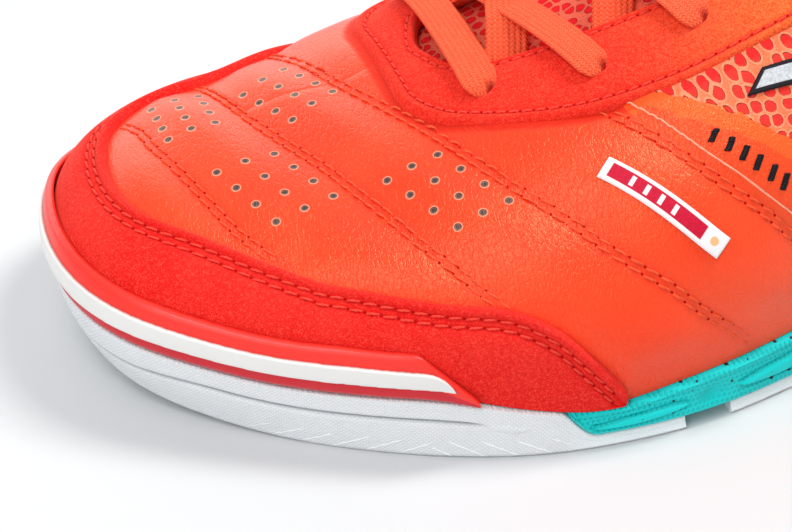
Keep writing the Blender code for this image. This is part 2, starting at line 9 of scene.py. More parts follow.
import bmesh
import bpy
import numpy as np
from bpy.props import FloatProperty, FloatVectorProperty
from mathutils import Matrix, Vector


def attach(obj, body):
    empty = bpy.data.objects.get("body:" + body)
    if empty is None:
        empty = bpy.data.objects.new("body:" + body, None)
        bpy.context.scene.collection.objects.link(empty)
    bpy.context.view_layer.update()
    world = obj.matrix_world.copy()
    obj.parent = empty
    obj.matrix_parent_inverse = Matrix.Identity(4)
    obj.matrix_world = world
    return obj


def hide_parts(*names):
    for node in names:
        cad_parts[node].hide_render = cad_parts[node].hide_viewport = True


bl_info = {
    "name": "Indoor soccer shoe",
    "version": (1, 0, 0),
    "blender": (4, 5, 0),
    "location": "View3D > Sidebar > Shoe",
    "description": "Builds an indoor soccer shoe from its last, with suede, leather and rubber",
    "category": "Add Mesh",
}

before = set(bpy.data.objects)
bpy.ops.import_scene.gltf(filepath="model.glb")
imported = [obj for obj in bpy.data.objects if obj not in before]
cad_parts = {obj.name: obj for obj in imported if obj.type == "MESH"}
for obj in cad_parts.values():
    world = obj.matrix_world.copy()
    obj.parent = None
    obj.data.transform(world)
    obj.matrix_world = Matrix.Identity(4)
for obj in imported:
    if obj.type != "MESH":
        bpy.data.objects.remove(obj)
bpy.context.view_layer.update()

# Sizes of the last and sole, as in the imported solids
SHOE_LENGTH = 0.286
BALL_WIDTH = 0.104
INSTEP_HEIGHT = 0.090
COLLAR_HEIGHT = 0.084
HEEL_STACK = 0.0218
TOE_SPRING = 0.0055
TOE_SPRING_LENGTH = 0.040
TOE_UNDERCUT_LENGTH = 0.0856
TOE_SPINE = 0.040
HEEL_SPINE = 0.042
REAR_SPINE = SHOE_LENGTH - HEEL_SPINE
SIDE_FULLNESS = 0.00165
LATERAL_POWER = 2.32
MEDIAL_POWER = 2.44
GAP = 0.0003
OVERLAY_GAP = 0.00045
UPPER_WALL = 0.0018
COLLAR_PAD = 0.0050
COLLAR_PAD_DEPTH = 0.022
COLLAR_PAD_RUN = 0.012
SUEDE = 0.0010
TONGUE_THICKNESS = 0.0030
INSOLE_THICKNESS = 0.0040
BUMPER_THICKNESS = 0.0014
STRIPE_THICKNESS = 0.0005
VAMP_INSET = 0.0004
TOE_TUCK = 0.0014
TOE_CAP_END = 0.091
BUMPER_END = 0.0635
BUMPER_HEIGHT = 0.0092
BUMPER_TAPER = 0.012
BUMPER_FOOT = 0.03
STRIPE_LOW = 0.385
STRIPE_HIGH = 0.71
STRIPE_END = 0.0600
STRIPE_TAPER = 0.0050
STRIPE_SHORTER = 0.0012
EYESTAY_FRONT = 0.065
THROAT_FRONT = 0.073
EYESTAY_END = 0.178
TONGUE_END = 0.197
SOLE_FLARE = 0.0017
TOE_UNDERCUT = 0.0030
POD_THICKNESS = 0.0027
MIDSOLE_FRONT = 0.0780
MIDSOLE_BITE = 0.0035
CUP_SLOPE = 0.008
FOREFOOT_POD_END = 0.1035
BALL_POD_START = 0.1135
BALL_POD_END = 0.152
HEEL_POD_START = 0.196
ARCH_RISE = 0.0038
EDGE_LEDGE = 0.0010
EDGE_ROUND = 0.0010
TREAD_DEPTH = 0.0012
TREAD_WIDTH = 0.0022
TREAD_PITCH = 0.0110
TREAD_SLANT = math.radians(8)
LACE_WIDTH = 0.0080
LACE_THICKNESS = 0.0013
LACE_SINK = 0.0052
LACE_INSIDE = -0.0010
LACE_BEHIND = 0.0065
LACE_CLIMB = 0.25
LACE_CROSS = 0.42
LACE_JOIN = 0.8
LACE_LEVEL = OVERLAY_GAP + SUEDE + 2 * GAP + LACE_THICKNESS / 2
EYELET_SETBACKS = (0.0101, 0.0113, 0.0090, 0.0085, 0.0085, 0.0085)
FIRST_EYELET = 0.0785
EYELET_PITCH = 0.0192
EYELET_PAIRS = len(EYELET_SETBACKS)

# Sole outline: share of the length from the toe, share of the ball width to the inner side
OUTLINE = [
    (0.985, -0.150), (0.955, -0.258), (0.900, -0.340), (0.800, -0.375), (0.700, -0.385),
    (0.600, -0.407), (0.500, -0.440), (0.400, -0.509), (0.330, -0.528), (0.260, -0.512),
    (0.190, -0.455), (0.120, -0.364), (0.060, -0.260), (0.020, -0.160), (0.000, -0.011),
    (0.012, 0.200), (0.040, 0.305), (0.090, 0.390), (0.150, 0.430), (0.220, 0.455),
    (0.290, 0.465), (0.360, 0.445), (0.440, 0.385), (0.520, 0.325), (0.600, 0.300),
    (0.700, 0.305), (0.800, 0.325), (0.900, 0.315), (0.955, 0.258), (0.985, 0.160),
    (1.000, 0.010),
]

# Tables: share of the length, then a share of the size that the function names
RIDGE = [
    (0.00, 0.40), (0.14, 0.433), (0.21, 0.494), (0.297, 0.605), (0.385, 0.722), (0.49, 0.867),
    (0.594, 1.00), (0.63, 1.08), (0.67, 1.22), (0.70, 1.33), (0.80, 1.45), (1.00, 1.50),
]
RIDGE_SWAY = [(0.14, 0.156), (0.28, 0.096), (0.42, 0.036), (0.70, 0.008), (1.00, -0.012)]
SOLE_EDGE = [
    (0.000, 0.568), (0.050, 0.608), (0.105, 0.607), (0.157, 0.603), (0.210, 0.577),
    (0.255, 0.461), (0.297, 0.385), (0.367, 0.495), (0.455, 0.583), (0.594, 0.725),
    (0.800, 0.900), (1.000, 1.00),
]
FOOTBED = [
    (0.000, 0.570), (0.050, 0.620), (0.105, 0.620), (0.157, 0.571), (0.200, 0.533),
    (0.290, 0.486), (0.367, 0.500), (0.455, 0.580), (0.594, 0.720), (1.000, 0.940),
]
THROAT = [(0.255, 0.00), (0.264, 0.075), (0.280, 0.118), (0.31, 0.138), (0.40, 0.150), (0.62, 0.175)]
TOPLINE = [
    (0.00, 2.00), (0.58, 2.00), (0.615, 1.17), (0.650, 1.03), (0.700, 0.90),
    (0.760, 0.815), (0.830, 0.84), (0.910, 0.94), (1.00, 1.00),
]
CAP_EDGE = [
    (0.00, 0.550, 0.550), (0.15, 0.540, 0.570), (0.34, 0.480, 0.690), (0.46, 0.430, 0.640),
    (0.64, 0.345, 0.420), (0.80, 0.285, 0.310), (0.87, 0.215, 0.230), (0.93, 0.130, 0.140),
    (1.00, 0.030, 0.030),
]
EYESTAY = [
    (0.227, 0.140), (0.240, 0.205), (0.256, 0.240), (0.278, 0.275), (0.310, 0.308),
    (0.370, 0.323), (0.440, 0.300), (0.520, 0.272), (0.620, 0.262),
]
TONGUE = [(0.276, 0.17), (0.30, 0.24), (0.42, 0.27), (0.56, 0.25), (0.66, 0.245), (0.69, 0.19)]

# Lower edge of the mesh quarter: share of the length, share of the rib
MESH_LOW = [(0.36, 0.70), (0.39, 0.60), (0.42, 0.50), (0.45, 0.40), (0.52, 0.34), (0.60, 0.36), (0.68, 0.44)]

# Seams of the vamp, in millimetres from the toe, to the inner side and up
SEAMS = {
    "toe": [
        (17.5, 24.5, 35.0), (19.7, 18.7, 36.3), (20.6, 12.0, 36.9), (21.8, 7.5, 37.1), (23.5, 1.1, 36.9),
        (26.1, -7.8, 35.7), (28.6, -15.1, 34.2), (31.9, -21.0, 32.8), (34.4, -25.4, 31.2),
    ],
    "front": [
        (34.6, 31.0, 35.5), (35.5, 27.7, 37.1), (37.2, 21.9, 38.3), (39.1, 15.9, 38.6), (41.2, 9.9, 38.8),
        (45.1, -0.2, 39.2), (48.4, -7.9, 39.3), (51.7, -16.5, 38.8), (55.0, -24.2, 37.9),
        (58.4, -31.7, 36.5), (62.6, -38.7, 34.4), (66.8, -44.4, 31.5), (70.8, -48.2, 28.4),
        (74.0, -50.5, 25.0),
    ],
    "ball": [
        (51.5, 38.5, 33.0), (52.6, 31.0, 39.2), (54.2, 25.4, 41.2), (57.0, 15.5, 43.0), (61.8, 3.2, 44.5),
        (66.8, -8.7, 45.3), (71.8, -20.4, 45.2), (77.7, -31.5, 43.7), (84.4, -40.5, 41.1),
        (89.2, -45.7, 38.2), (94.4, -49.6, 34.9), (100.0, -52.2, 31.0), (105.9, -53.6, 25.4),
        (112.2, -53.2, 19.6), (118.5, -51.7, 13.1),
    ],
    "side": [
        (92.0, -19.0, 54.5), (95.6, -24.7, 53.7), (100.0, -30.8, 53.0), (104.3, -36.4, 51.4),
        (108.7, -41.2, 48.9), (113.8, -45.3, 45.2), (119.3, -47.7, 40.9), (124.7, -48.7, 35.3),
        (131.0, -48.6, 28.5), (138.0, -46.9, 21.0), (142.0, -45.6, 15.5),
    ],
}
# Light edge of the quarter, behind the side seam
QUARTER_EDGE = [
    (96.5, -21.8, 55.6), (100.0, -26.5, 54.9), (103.9, -31.8, 54.0), (106.7, -35.6, 52.7),
    (110.7, -40.2, 50.4), (115.8, -44.1, 47.1), (120.4, -46.4, 43.3), (125.4, -47.6, 38.8),
    (131.5, -47.8, 32.0), (138.5, -46.2, 24.5), (145.0, -44.2, 16.0),
]
# Corner holes of each punched group: first row's ends, last row's ends
PUNCHED = [
    [(29.6, -1.8, 37.1), (35.8, -15.9, 35.0), (40.8, 1.1, 38.2), (47.7, -16.1, 37.6)],
    [(57.3, -17.1, 40.5), (65.6, -33.2, 38.4), (67.2, -17.4, 44.0), (75.3, -32.2, 42.5)],
    [(41.6, 20.6, 38.8), (46.6, 7.7, 40.0), (50.2, 24.8, 40.6), (56.4, 10.8, 42.8)],
    [(24.0, 24.2, 36.4), (23.4, 12.0, 37.4), (33.0, 24.6, 37.6), (33.6, 13.0, 38.2)],
]
# Corners of the side label, the cloth patch and the embroidered bars
LABEL = [(93.6, -34.1, 48.6), (111.5, -49.5, 38.0), (90.4, -36.1, 46.2), (108.3, -50.8, 35.1)]
PATCH = [(119.6, -35.2, 57.4), (146.0, -33.2, 58.0), (123.8, -31.6, 60.4), (146.0, -30.4, 62.0)]
LABEL_PROPORTION = 5.4
LABEL_SLOTS = 9.0
BARS = [(112.2, -37.0, 53.4), (125.8, -45.0, 45.1), (110.7, -38.3, 52.0), (124.6, -46.4, 42.6)]
# Share of the bars' row at which each bar starts, and a bar's share of it
BAR_STARTS = (0.02, 0.2, 0.36, 0.52, 0.7, 0.86)
BAR_SHARE = 0.1
BAR_STITCH = 0.0012

# Rows of stitches: half the gap of twin rows, distances from the overlays' edges
ROW_APART = 0.00072
CAP_ROWS = (0.0023, 0.0038)
STAY_OUTER_ROW = 0.0024
STAY_INNER_ROW = 0.0018

# Distances from an overlay's cut edge at which its surface has rows of points
EDGE_STEPS = (0, 0.0001, 0.00025, 0.00045, 0.0007, 0.001, 0.0013)
CAP_STEPS = EDGE_STEPS + (0.0016, 0.0019, 0.0023, 0.0027, 0.00305, 0.0034, 0.0038, 0.0042, 0.0046, 0.0052,
                          0.006)
STAY_STEPS = EDGE_STEPS + (0.0017, 0.0021, 0.0025, 0.003, 0.0036)

# A rib's usual length, and the share of its turn past which a rib reaches the ridge
RIB_LENGTH = 0.075
CLOSED_SHARE = 0.995
# Share of the ball width over which a rib turns from outer to inner shape, and its fullness
SIDE_BLEND = 0.77
FULLNESS_SCALE = 1.5
# Half thickness of the upper's turned edge, at the throat and at the collar
FRONT_EDGE = 0.0009
REAR_EDGE = 0.0016
# Stations at which the quarter begins and its light edge fades, and one beside the throat
QUARTER_START = 0.085
LIGHT_EDGE_END = 0.16
THROAT_MIDDLE = 0.12

# Panels of the vamp: run and power of their rise, the share of it left behind, where it fades
PANEL_RUN = 0.0050
PANEL_POWER = 1.6
REAR_PUFF = 0.25
PUFF_FADE = (0.165, 0.130)
# Furrow that a row of stitches pulls: its width, its depth in leather, toe cap and eyestay
FURROW_WIDTH = 0.0005
LEATHER_FURROW = 0.00025
CAP_FURROW = 0.00045
STAY_FURROW = 0.0004
# Cut edge of the suede: its radius, then height, place and width of the roll behind it
CUT_RADIUS = 0.0009
ROLL_HEIGHT = 0.0004
ROLL_PLACE = 0.0012
ROLL_WIDTH = 0.0007
# Thread, and the stitches of cap and eyestay as shares of the stitch pitch
THREAD_RADIUS = 0.00026
CAP_PITCH = 0.92
STAY_PITCH = 0.74

# Pitches of the patterns in the finishes
MESH_CELL = 0.0028
TONGUE_CELL = 0.0024
KNURL_PITCH = 0.00082
HERRINGBONE_WIDTH = 0.0075
HERRINGBONE_PITCH = 0.0036
SLASH_PITCH = 0.0062
DIMPLE_PITCH = 0.00105
YARN_PITCH = 0.00066
THREAD_PITCH = 0.0005

# Lace: cords across it, place of the shade at its end, share of its width in which an end rounds,
# how deep and how fast the end dives, points along and round it
LACE_CORDS = 7
LACE_NOTCH = 0.4
LACE_ROUND = 0.42
LACE_DIVE = 0.0022
LACE_DIVE_RUN = 0.0011
LACE_RINGS = 64
LACE_SIDES = 44

# Points along each edge of the eyestay
U_POINTS = 520

# Walk along the cup's side, from its outer rear end, at which the slashes change their lean
SLASH_TURN = 0.0485

# Moulded lenses on the midsole's side: first and last station, low and high share of its height
LENSES = [
    (0.0845, 0.1035, 0.16, 0.50), (0.1145, 0.1480, 0.22, 0.62), (0.1600, 0.1960, 0.22, 0.70),
    (0.2060, 0.2480, 0.22, 0.70),
]
FLEX_DIMPLES = (0.1085, 0.1555, 0.2005)

# Section of the footbed, from its underside out and back: move in, share to the spine, height
INSOLE_PROFILE = [
    (0, 1, GAP), (0, 0.5, GAP), (0, 0, GAP), (0, 0, 0.6 * INSOLE_THICKNESS),
    (0.0004, 0, 0.9 * INSOLE_THICKNESS), (EDGE_ROUND, 0, INSOLE_THICKNESS),
    (EDGE_ROUND, 0.1, INSOLE_THICKNESS - 0.0004), (EDGE_ROUND, 0.3, INSOLE_THICKNESS - 0.0008),
    (EDGE_ROUND, 0.6, INSOLE_THICKNESS - 0.001), (EDGE_ROUND, 1, INSOLE_THICKNESS - 0.001),
]

# Lights: name, place, aim, size, power in watts, colour
LIGHTS = [
    ("key_softbox", (0.30, 0.03, 0.78), (-0.05, 0.0, 0.03), (0.20, 0.40), 5.0, (1.0, 0.99, 0.97)),
    ("toe_softbox", (-0.44, -0.34, 0.80), (-0.08, 0.0, 0.03), (0.30, 0.34), 2.7, (1.0, 0.99, 0.98)),
    ("back_softbox", (-0.10, 1.25, 0.42), (-0.06, 0.0, 0.03), (2.0, 0.7), 9.0, (1.0, 0.99, 0.98)),
    ("front_softbox", (-0.70, -0.62, 0.45), (-0.06, 0.0, 0.03), (0.6, 0.5), 2.2, (1.0, 1.0, 1.0)),
]
WORLD_TINT = (0.93, 0.97, 1.0)
WORLD_LIGHT = 0.57
FLOOR_REACH = 4.0

# Camera fitted to the photograph: target in the last's coordinates, angles in degrees
CAMERA_TARGET = (0.062023, -0.010066, 0.015)
CAMERA_AZIMUTH = -20.248
CAMERA_ELEVATION = 36.395
CAMERA_ROLL = 1.393
CAMERA_DISTANCE = 0.554016
CAMERA_LENS = 131.22

# How finely the last is sampled: round the outline, along a rib, in the table of sideways
# distances, along a seam and in the net; and how many distances are held at a time
OUTLINE_POINTS = 1440
RIB_SAMPLES = 500
ASIDE_STATIONS = 520
ASIDE_SAMPLES = 240
ASIDE_REACH = 0.05
SEAM_SPACING = 0.0006
NET_SPACING = 0.0013
NET_ROWS = 130
LARGEST_TABLE = 20_000_000


def cubic(at, values, x):
    """Cubic pieces through values at rising places, with the slopes of the neighbours."""
    slope = np.gradient(values, at, axis=0)
    i = np.clip(np.searchsorted(at, x, side="right") - 1, 0, len(at) - 2)
    h = at[i + 1] - at[i]
    t = (x - at[i]) / h
    if values.ndim > 1:
        h, t = h[:, None], t[:, None]
    first = values[i] * (1 + 2 * t) + h * slope[i] * t
    second = values[i + 1] * (3 - 2 * t) - h * slope[i + 1] * (1 - t)
    return (1 - t) ** 2 * first + t ** 2 * second


def curve(table, x, column=1, length=SHOE_LENGTH):
    """Smooth curve through a table's rows, level past its ends."""
    rows = np.array(table, float)
    at = rows[:, 0] * length
    return cubic(at, rows[:, column], np.clip(x, at[0], at[-1]))


def closed_spline(points, count):
    """Periodic cubic spline through the points; its parameter is the root of the chord."""
    n = len(points)
    step = np.linalg.norm(np.roll(points, -1, 0) - points, axis=1) ** 0.5
    before = np.roll(step, 1)
    k = np.arange(n)
    matrix = np.zeros((n, n))
    matrix[k, k] = 2 * (step + before)
    matrix[k, (k + 1) % n] = step
    matrix[k, (k - 1) % n] = before
    lift = (np.roll(points, -1, 0) - points) / step[:, None]
    bend = np.linalg.solve(matrix, 6 * (lift - np.roll(lift, 1, 0)))
    start = np.r_[0, np.cumsum(step)]
    at = np.linspace(0, start[-1], count, endpoint=False)
    i = np.clip(np.searchsorted(start, at, side="right") - 1, 0, n - 1)
    j = (i + 1) % n
    h = step[i, None]
    b = at[:, None] - start[i, None]
    a = h - b
    cubic = (bend[i] * a ** 3 + bend[j] * b ** 3) / (6 * h)
    return cubic + (points[i] / h - bend[i] * h / 6) * a + (points[j] / h - bend[j] * h / 6) * b


DENSE = closed_spline(np.array(OUTLINE) * (SHOE_LENGTH, BALL_WIDTH), OUTLINE_POINTS)
TIP = int(np.argmin(DENSE[:, 0]))
REAR = int(np.argmax(DENSE[:, 0]))
LATERAL = np.roll(DENSE, -REAR, 0)[: (TIP - REAR) % len(DENSE)]
MEDIAL = np.roll(DENSE, -TIP, 0)[: (REAR - TIP) % len(DENSE)]
CENTRE = (DENSE.min(0) + DENSE.max(0)) / 2
FRAME_ORIGIN = np.array((*CENTRE, 0))


def spring(x):
    """Lift of the toe: a parabola from the ball to the tip."""
    return TOE_SPRING * np.clip(1 - x / TOE_SPRING_LENGTH, 0, None) ** 2


def sole_edge(x):
    """Height at which the upper meets the sole unit."""
    return curve(SOLE_EDGE, x) * HEEL_STACK + spring(x)


def bed(x, share):
    """Top of the sole unit: its edge at share 0, the footbed's middle at share 1."""
    middle = curve(FOOTBED, x) * HEEL_STACK + spring(x)
    return sole_edge(x) * (1 - share) + middle * share


def sway(x):
    """Sideways place of the last's ridge."""
    return curve(RIDGE_SWAY, x) * BALL_WIDTH


def smooth(low, high, x):
    """Smooth step from 0 at low to 1 at high."""
    t = np.clip((x - low) / (high - low), 0, 1)
    return t * t * (3 - 2 * t)


def bell(x, middle, width):
    """Bell curve of height 1."""
    return np.exp(-((x - middle) / width) ** 2)


def unit(vectors):
    """Rows of vectors divided by their lengths."""
    return vectors / np.linalg.norm(vectors, axis=1)[:, None]


def walked(points):
    """Length walked along a curve at each of its points: the sum of the steps before it."""
    return np.r_[0, np.cumsum(np.linalg.norm(np.diff(points, axis=0), axis=1))]


def at_walk(points, count):
    """A plan curve's points at even walks along it."""
    walk = walked(points)
    at = np.linspace(0, walk[-1], count)
    return np.c_[np.interp(at, walk, points[:, 0]), np.interp(at, walk, points[:, 1])]


def repeated(faces, copies, points):
    """Faces of one small form, numbered on for each of its copies with so many points each."""
    return (faces[None] + (np.arange(copies) * points)[:, None, None]).reshape(-1, 4)


class Feet:
    """Feet of ribs on the sole outline, with the spine point that each rib rises to."""

    def __init__(self, foot):
        self.foot = foot
        x = np.clip(foot[:, 0], TOE_SPINE, REAR_SPINE)
        self.spine = np.c_[x, sway(x)]
        self.reach = np.linalg.norm(self.spine - foot, axis=1)[:, None]

    @classmethod
    def on_side(cls, x, medial):
        """Feet at stations x, each on the medial or the lateral side."""
        lateral_y = np.interp(x, LATERAL[::-1, 0], LATERAL[::-1, 1])
        medial_y = np.interp(x, MEDIAL[:, 0], MEDIAL[:, 1])
        return cls(np.c_[x, np.where(medial, medial_y, lateral_y)])


class Loop(Feet):
    """Feet from the rear on the lateral side, round the toe and back on the medial side.

    The toe and the heel are rounded by fans of feet where the loop reaches them.
    """

    def __init__(self, stations, toe=0, heel=0):
        lateral = Feet.on_side(stations[::-1], False).foot
        medial = Feet.on_side(stations, True).foot
        parts = [lateral, medial]
        if toe:
            parts.insert(1, self.fan(lateral[-1], medial[0], toe))
        if heel:
            parts.append(self.fan(medial[-1], lateral[0], heel))
        super().__init__(np.vstack(parts))
        self.closed = bool(heel)
        self.apart = None if toe else len(lateral) - 1
        at = np.argmin(((DENSE[None] - self.foot[:, None]) ** 2).sum(2), axis=1)
        along = np.roll(DENSE, -3, 0)[at] - np.roll(DENSE, 3, 0)[at]
        out = np.c_[-along[:, 1], along[:, 0]]
        front = [len(lateral) - 1, len(lateral)] * (not toe)
        ends = np.array(front + [0, len(self.foot) - 1] * (not heel), int)
        out[ends, 0] = 0
        self.out = unit(out)
        self.walk = walked(self.foot)

    @staticmethod
    def fan(first, last, count):
        """Feet evenly spaced along the outline between two of its points."""
        i = np.argmin(((DENSE - first) ** 2).sum(1))
        j = np.argmin(((DENSE - last) ** 2).sum(1))
        return at_walk(np.roll(DENSE, -i, 0)[: (j - i) % len(DENSE)], count + 2)[1:-1]


def rib(feet, share):
    """Inward run and height of each rib at a share of its quarter turn (0 sole, 1 ridge).

    The rib is a superellipse between the foot and the spine point, pushed out by the fullness.
    """
    blend = np.clip((feet.foot[:, 1] - feet.spine[:, 1]) / (SIDE_BLEND * BALL_WIDTH) + 0.5, 0, 1)
    power = (LATERAL_POWER * (1 - blend) + MEDIAL_POWER * blend)[:, None]
    turn = np.clip(share, 1e-6, 1 - 1e-6) * math.pi / 2
    base = sole_edge(feet.foot[:, 0])[:, None]
    top = (curve(RIDGE, feet.spine[:, 0]) * INSTEP_HEIGHT)[:, None]
    fullness = FULLNESS_SCALE * SIDE_FULLNESS * np.sin(2 * turn) * np.cos(turn) ** 2
    run = feet.reach * (1 - np.cos(turn) ** (2 / power)) - fullness
    return run, base + (top - base) * np.sin(turn) ** (2 / power)


def inset(feet, share):
    """How far the leather lies inside the nominal last: more under the toe bumper."""
    toe = np.clip((TOE_CAP_END - feet.foot[:, 0]) / (TOE_CAP_END - BUMPER_END), 0, 1)[:, None]
    return VAMP_INSET + TOE_TUCK * toe * np.clip(1 - share / 0.4, 0, 1)


def last_frame(feet, share):
    """Points of the upper at the shares of each rib, their outward normals and their way up the rib."""
    share = np.broadcast_to(share, (len(feet.foot), np.shape(share)[-1]))
    run, height = rib(feet, share)
    run_a, height_a = rib(feet, np.clip(share - 0.01, 0, 1))
    run_b, height_b = rib(feet, np.clip(share + 0.01, 0, 1))
    length = np.hypot(run_b - run_a, height_b - height_a)
    run_up, height_up = (run_b - run_a) / length, (height_b - height_a) / length
    inward = ((feet.spine - feet.foot) / feet.reach)[:, None]
    plan = feet.foot[:, None] + inward * run[..., None]
    normal = np.dstack([-inward * height_up[..., None], run_up])
    upward = np.dstack([inward * run_up[..., None], height_up])
    points = np.dstack([plan, height]) - normal * inset(feet, share)[..., None]
    return points, normal, upward


def last_surface(feet, share, proud=0.0):
    """Points of the upper moved out along the rib's own normal, never past the ridge."""
    points, normal, _ = last_frame(feet, share)
    points = points + normal * np.broadcast_to(proud, points.shape[:2])[..., None]
    inward = ((feet.spine - feet.foot) / feet.reach)[:, None]
    over = ((points[..., :2] - feet.spine[:, None]) * inward).sum(-1, keepdims=True)
    points[..., :2] -= inward * np.clip(over, 0, None)
    return points


def share_where(feet, test):
    """First share of each rib at which the test on its points turns true, or 1."""
    share = np.linspace(0, 1, RIB_SAMPLES)
    hit = test(last_frame(feet, share[None])[0])
    return np.where(hit.any(1), share[np.argmax(hit, axis=1)], 1.0)


def opening_share(feet):
    """Where the upper ends: at the throat's edge in front, at the topline behind."""
    half = (curve(THROAT, feet.foot[:, 0]) * BALL_WIDTH)[:, None]
    high = (curve(TOPLINE, feet.foot[:, 0]) * COLLAR_HEIGHT)[:, None]
    along = feet.foot[:, :1]
    in_throat = (along > THROAT_FRONT + GAP) & (along < TONGUE_END)
    middle = feet.spine[:, 1:2]
    return share_where(
        feet, lambda p: (in_throat & (abs(p[..., 1] - middle) <= half)) | (p[..., 2] >= high)
    )


def aside_table():
    """Shares of the ribs against distance from the ridge, for stations along both sides."""
    x = np.linspace(TOE_SPINE, REAR_SPINE, ASIDE_STATIONS)
    aside = np.linspace(0, ASIDE_REACH, ASIDE_SAMPLES)
    share = np.linspace(0, 1, RIB_SAMPLES)
    rows = []
    for medial in (False, True):
        feet = Feet.on_side(x, np.full(len(x), medial))
        away = abs(last_frame(feet, share[None])[0][..., 1] - feet.spine[:, 1:2])
        rows.append([np.interp(aside, a[::-1], share[::-1]) for a in away])
    return x, aside, np.array(rows)


ASIDE_X, ASIDE, ASIDE_SHARE = aside_table()


def on_last(x, aside, proud=0.0):
    """Points and normals of the upper at stations x and sideways distances from the ridge.

    The shares are read between the entries of the table of shares.
    """
    x, aside, proud = np.broadcast_arrays(x, aside, proud)
    shape = x.shape
    x, aside, proud = x.ravel(), aside.ravel(), proud.ravel()
    medial = (aside > 0).astype(int)
    u = np.clip((x - ASIDE_X[0]) / (ASIDE_X[1] - ASIDE_X[0]), 0, len(ASIDE_X) - 1.001)
    v = np.clip(abs(aside) / ASIDE[1], 0, len(ASIDE) - 1.001)
    i, j = u.astype(int), v.astype(int)
    a, b = u - i, v - j
    table = ASIDE_SHARE
    share = (table[medial, i, j] * (1 - a) * (1 - b) + table[medial, i + 1, j] * a * (1 - b)
             + table[medial, i, j + 1] * (1 - a) * b + table[medial, i + 1, j + 1] * a * b)
    points, normal, _ = last_frame(Feet.on_side(x, medial == 1), share[:, None])
    points = points[:, 0] + normal[:, 0] * proud[:, None]
    return points.reshape(*shape, 3), normal[:, 0].reshape(*shape, 3)


def spline(points, spacing):
    """Smooth open curve through control points, read at an even spacing."""
    points = np.asarray(points, float)
    at = walked(points)
    return cubic(at, points, np.linspace(0, at[-1], max(int(at[-1] / spacing), 8)))


def last_net():
    """Coarse net of points and normals over the whole last, for finding places on it."""
    loop = Loop(np.arange(TOE_SPINE, REAR_SPINE, NET_SPACING), toe=90, heel=60)
    points, normal, _ = last_frame(loop, np.linspace(0.002, CLOSED_SHARE, NET_ROWS)[None])
    return points.reshape(-1, 3), normal.reshape(-1, 3)


NET, NET_NORMAL = last_net()


def nearest(points, others):
    """Index of, and distance to, the nearest of the others for each point."""
    found, away = [], []
    size = (others ** 2).sum(1)
    for part in np.array_split(points, max(1, len(points) * len(others) // LARGEST_TABLE)):
        square = (part ** 2).sum(1)[:, None] + size - 2 * part @ others.T
        index = square.argmin(1)
        found.append(index)
        away.append(np.sqrt(np.clip(square[np.arange(len(part)), index], 0, None)))
    return np.concatenate(found), np.concatenate(away)


def snap(points):
    """Points dropped on the last along its normal there, and those normals."""
    flat = np.asarray(points, float).reshape(-1, 3)
    index, _ = nearest(flat, NET)
    normal = NET_NORMAL[index]
    off = ((flat - NET[index]) * normal).sum(1, keepdims=True)
    return (flat - off * normal).reshape(np.shape(points)), normal.reshape(np.shape(points))


def seam_line(points):
    """A curve on the last through points in millimetres."""
    return snap(spline(np.array(points) / 1000, SEAM_SPACING))[0]


SEAM_LINES = {name: seam_line(points) for name, points in SEAMS.items()}
QUARTER_LINE = seam_line(QUARTER_EDGE)


def seam_distance(points):
    """Distance of each point from the nearest seam of the vamp."""
    flat = points.reshape(-1, 3)
    return nearest(flat, np.vstack(list(SEAM_LINES.values())))[1].reshape(points.shape[:-1])


def signed_side(points, line):
    """Distance from a curve, positive on its heel side."""
    flat = points.reshape(-1, 3)
    index, away = nearest(flat, line)
    along = np.gradient(line, axis=0)[index]
    _, normal = snap(line)
    side = (np.cross(normal[index], along) * (flat - line[index])).sum(1)
    return (np.where(side > 0, 1, -1) * away).reshape(points.shape[:-1])


def vamp_relief(points, puff, distance=None):
    """Lift of the padded panels: nothing in the twin-stitched seam, full between seams.

    Each stitch row pulls its own narrow furrow. The panels lie flat behind the ball.
    """
    distance = seam_distance(points) if distance is None else distance
    rise = puff * (1 - np.exp(-(np.clip(distance - ROW_APART, 0, None) / PANEL_RUN) ** PANEL_POWER))
    rise = rise - LEATHER_FURROW * bell(distance, ROW_APART, FURROW_WIDTH)
    return rise * (REAR_PUFF + (1 - REAR_PUFF) * smooth(*PUFF_FADE, points[..., 0]))


class Wire:
    """A socket in an expression: each operator adds the Math node that works it out."""

    def __init__(self, finish, socket):
        self.finish = finish
        self.socket = socket

    def math(self, operation, *values):
        """New Math node with its values."""
        return self.finish.node("ShaderNodeMath", {"operation": operation}, values)

    def __add__(self, other):
        return self.math("ADD", self, other)

    __radd__ = __add__

    def __sub__(self, other):
        return self.math("SUBTRACT", self, other)

    def __rsub__(self, other):
        return self.math("SUBTRACT", other, self)

    def __mul__(self, other):
        return self.math("MULTIPLY", self, other)

    __rmul__ = __mul__

    def __truediv__(self, other):
        return self.math("DIVIDE", self, other)

    def __pow__(self, other):
        return self.math("POWER", self, other)

    def __abs__(self):
        return self.math("ABSOLUTE", self)

    def sine(self):
        """Sine, in radians."""
        return self.math("SINE", self)

    def least(self, other):
        """The smaller of two values."""
        return self.math("MINIMUM", self, other)

    def most(self, other):
        """The larger of two values."""
        return self.math("MAXIMUM", self, other)

    def rounded(self):
        """Nearest whole number."""
        return self.math("ROUND", self)

    def step(self, low, high):
        """0 below low, 1 above high, smooth between; low may be the larger one."""
        return self.finish.node(
            "ShaderNodeMapRange", {"interpolation_type": "SMOOTHSTEP"}, [self, low, high, 0.0, 1.0]
        )


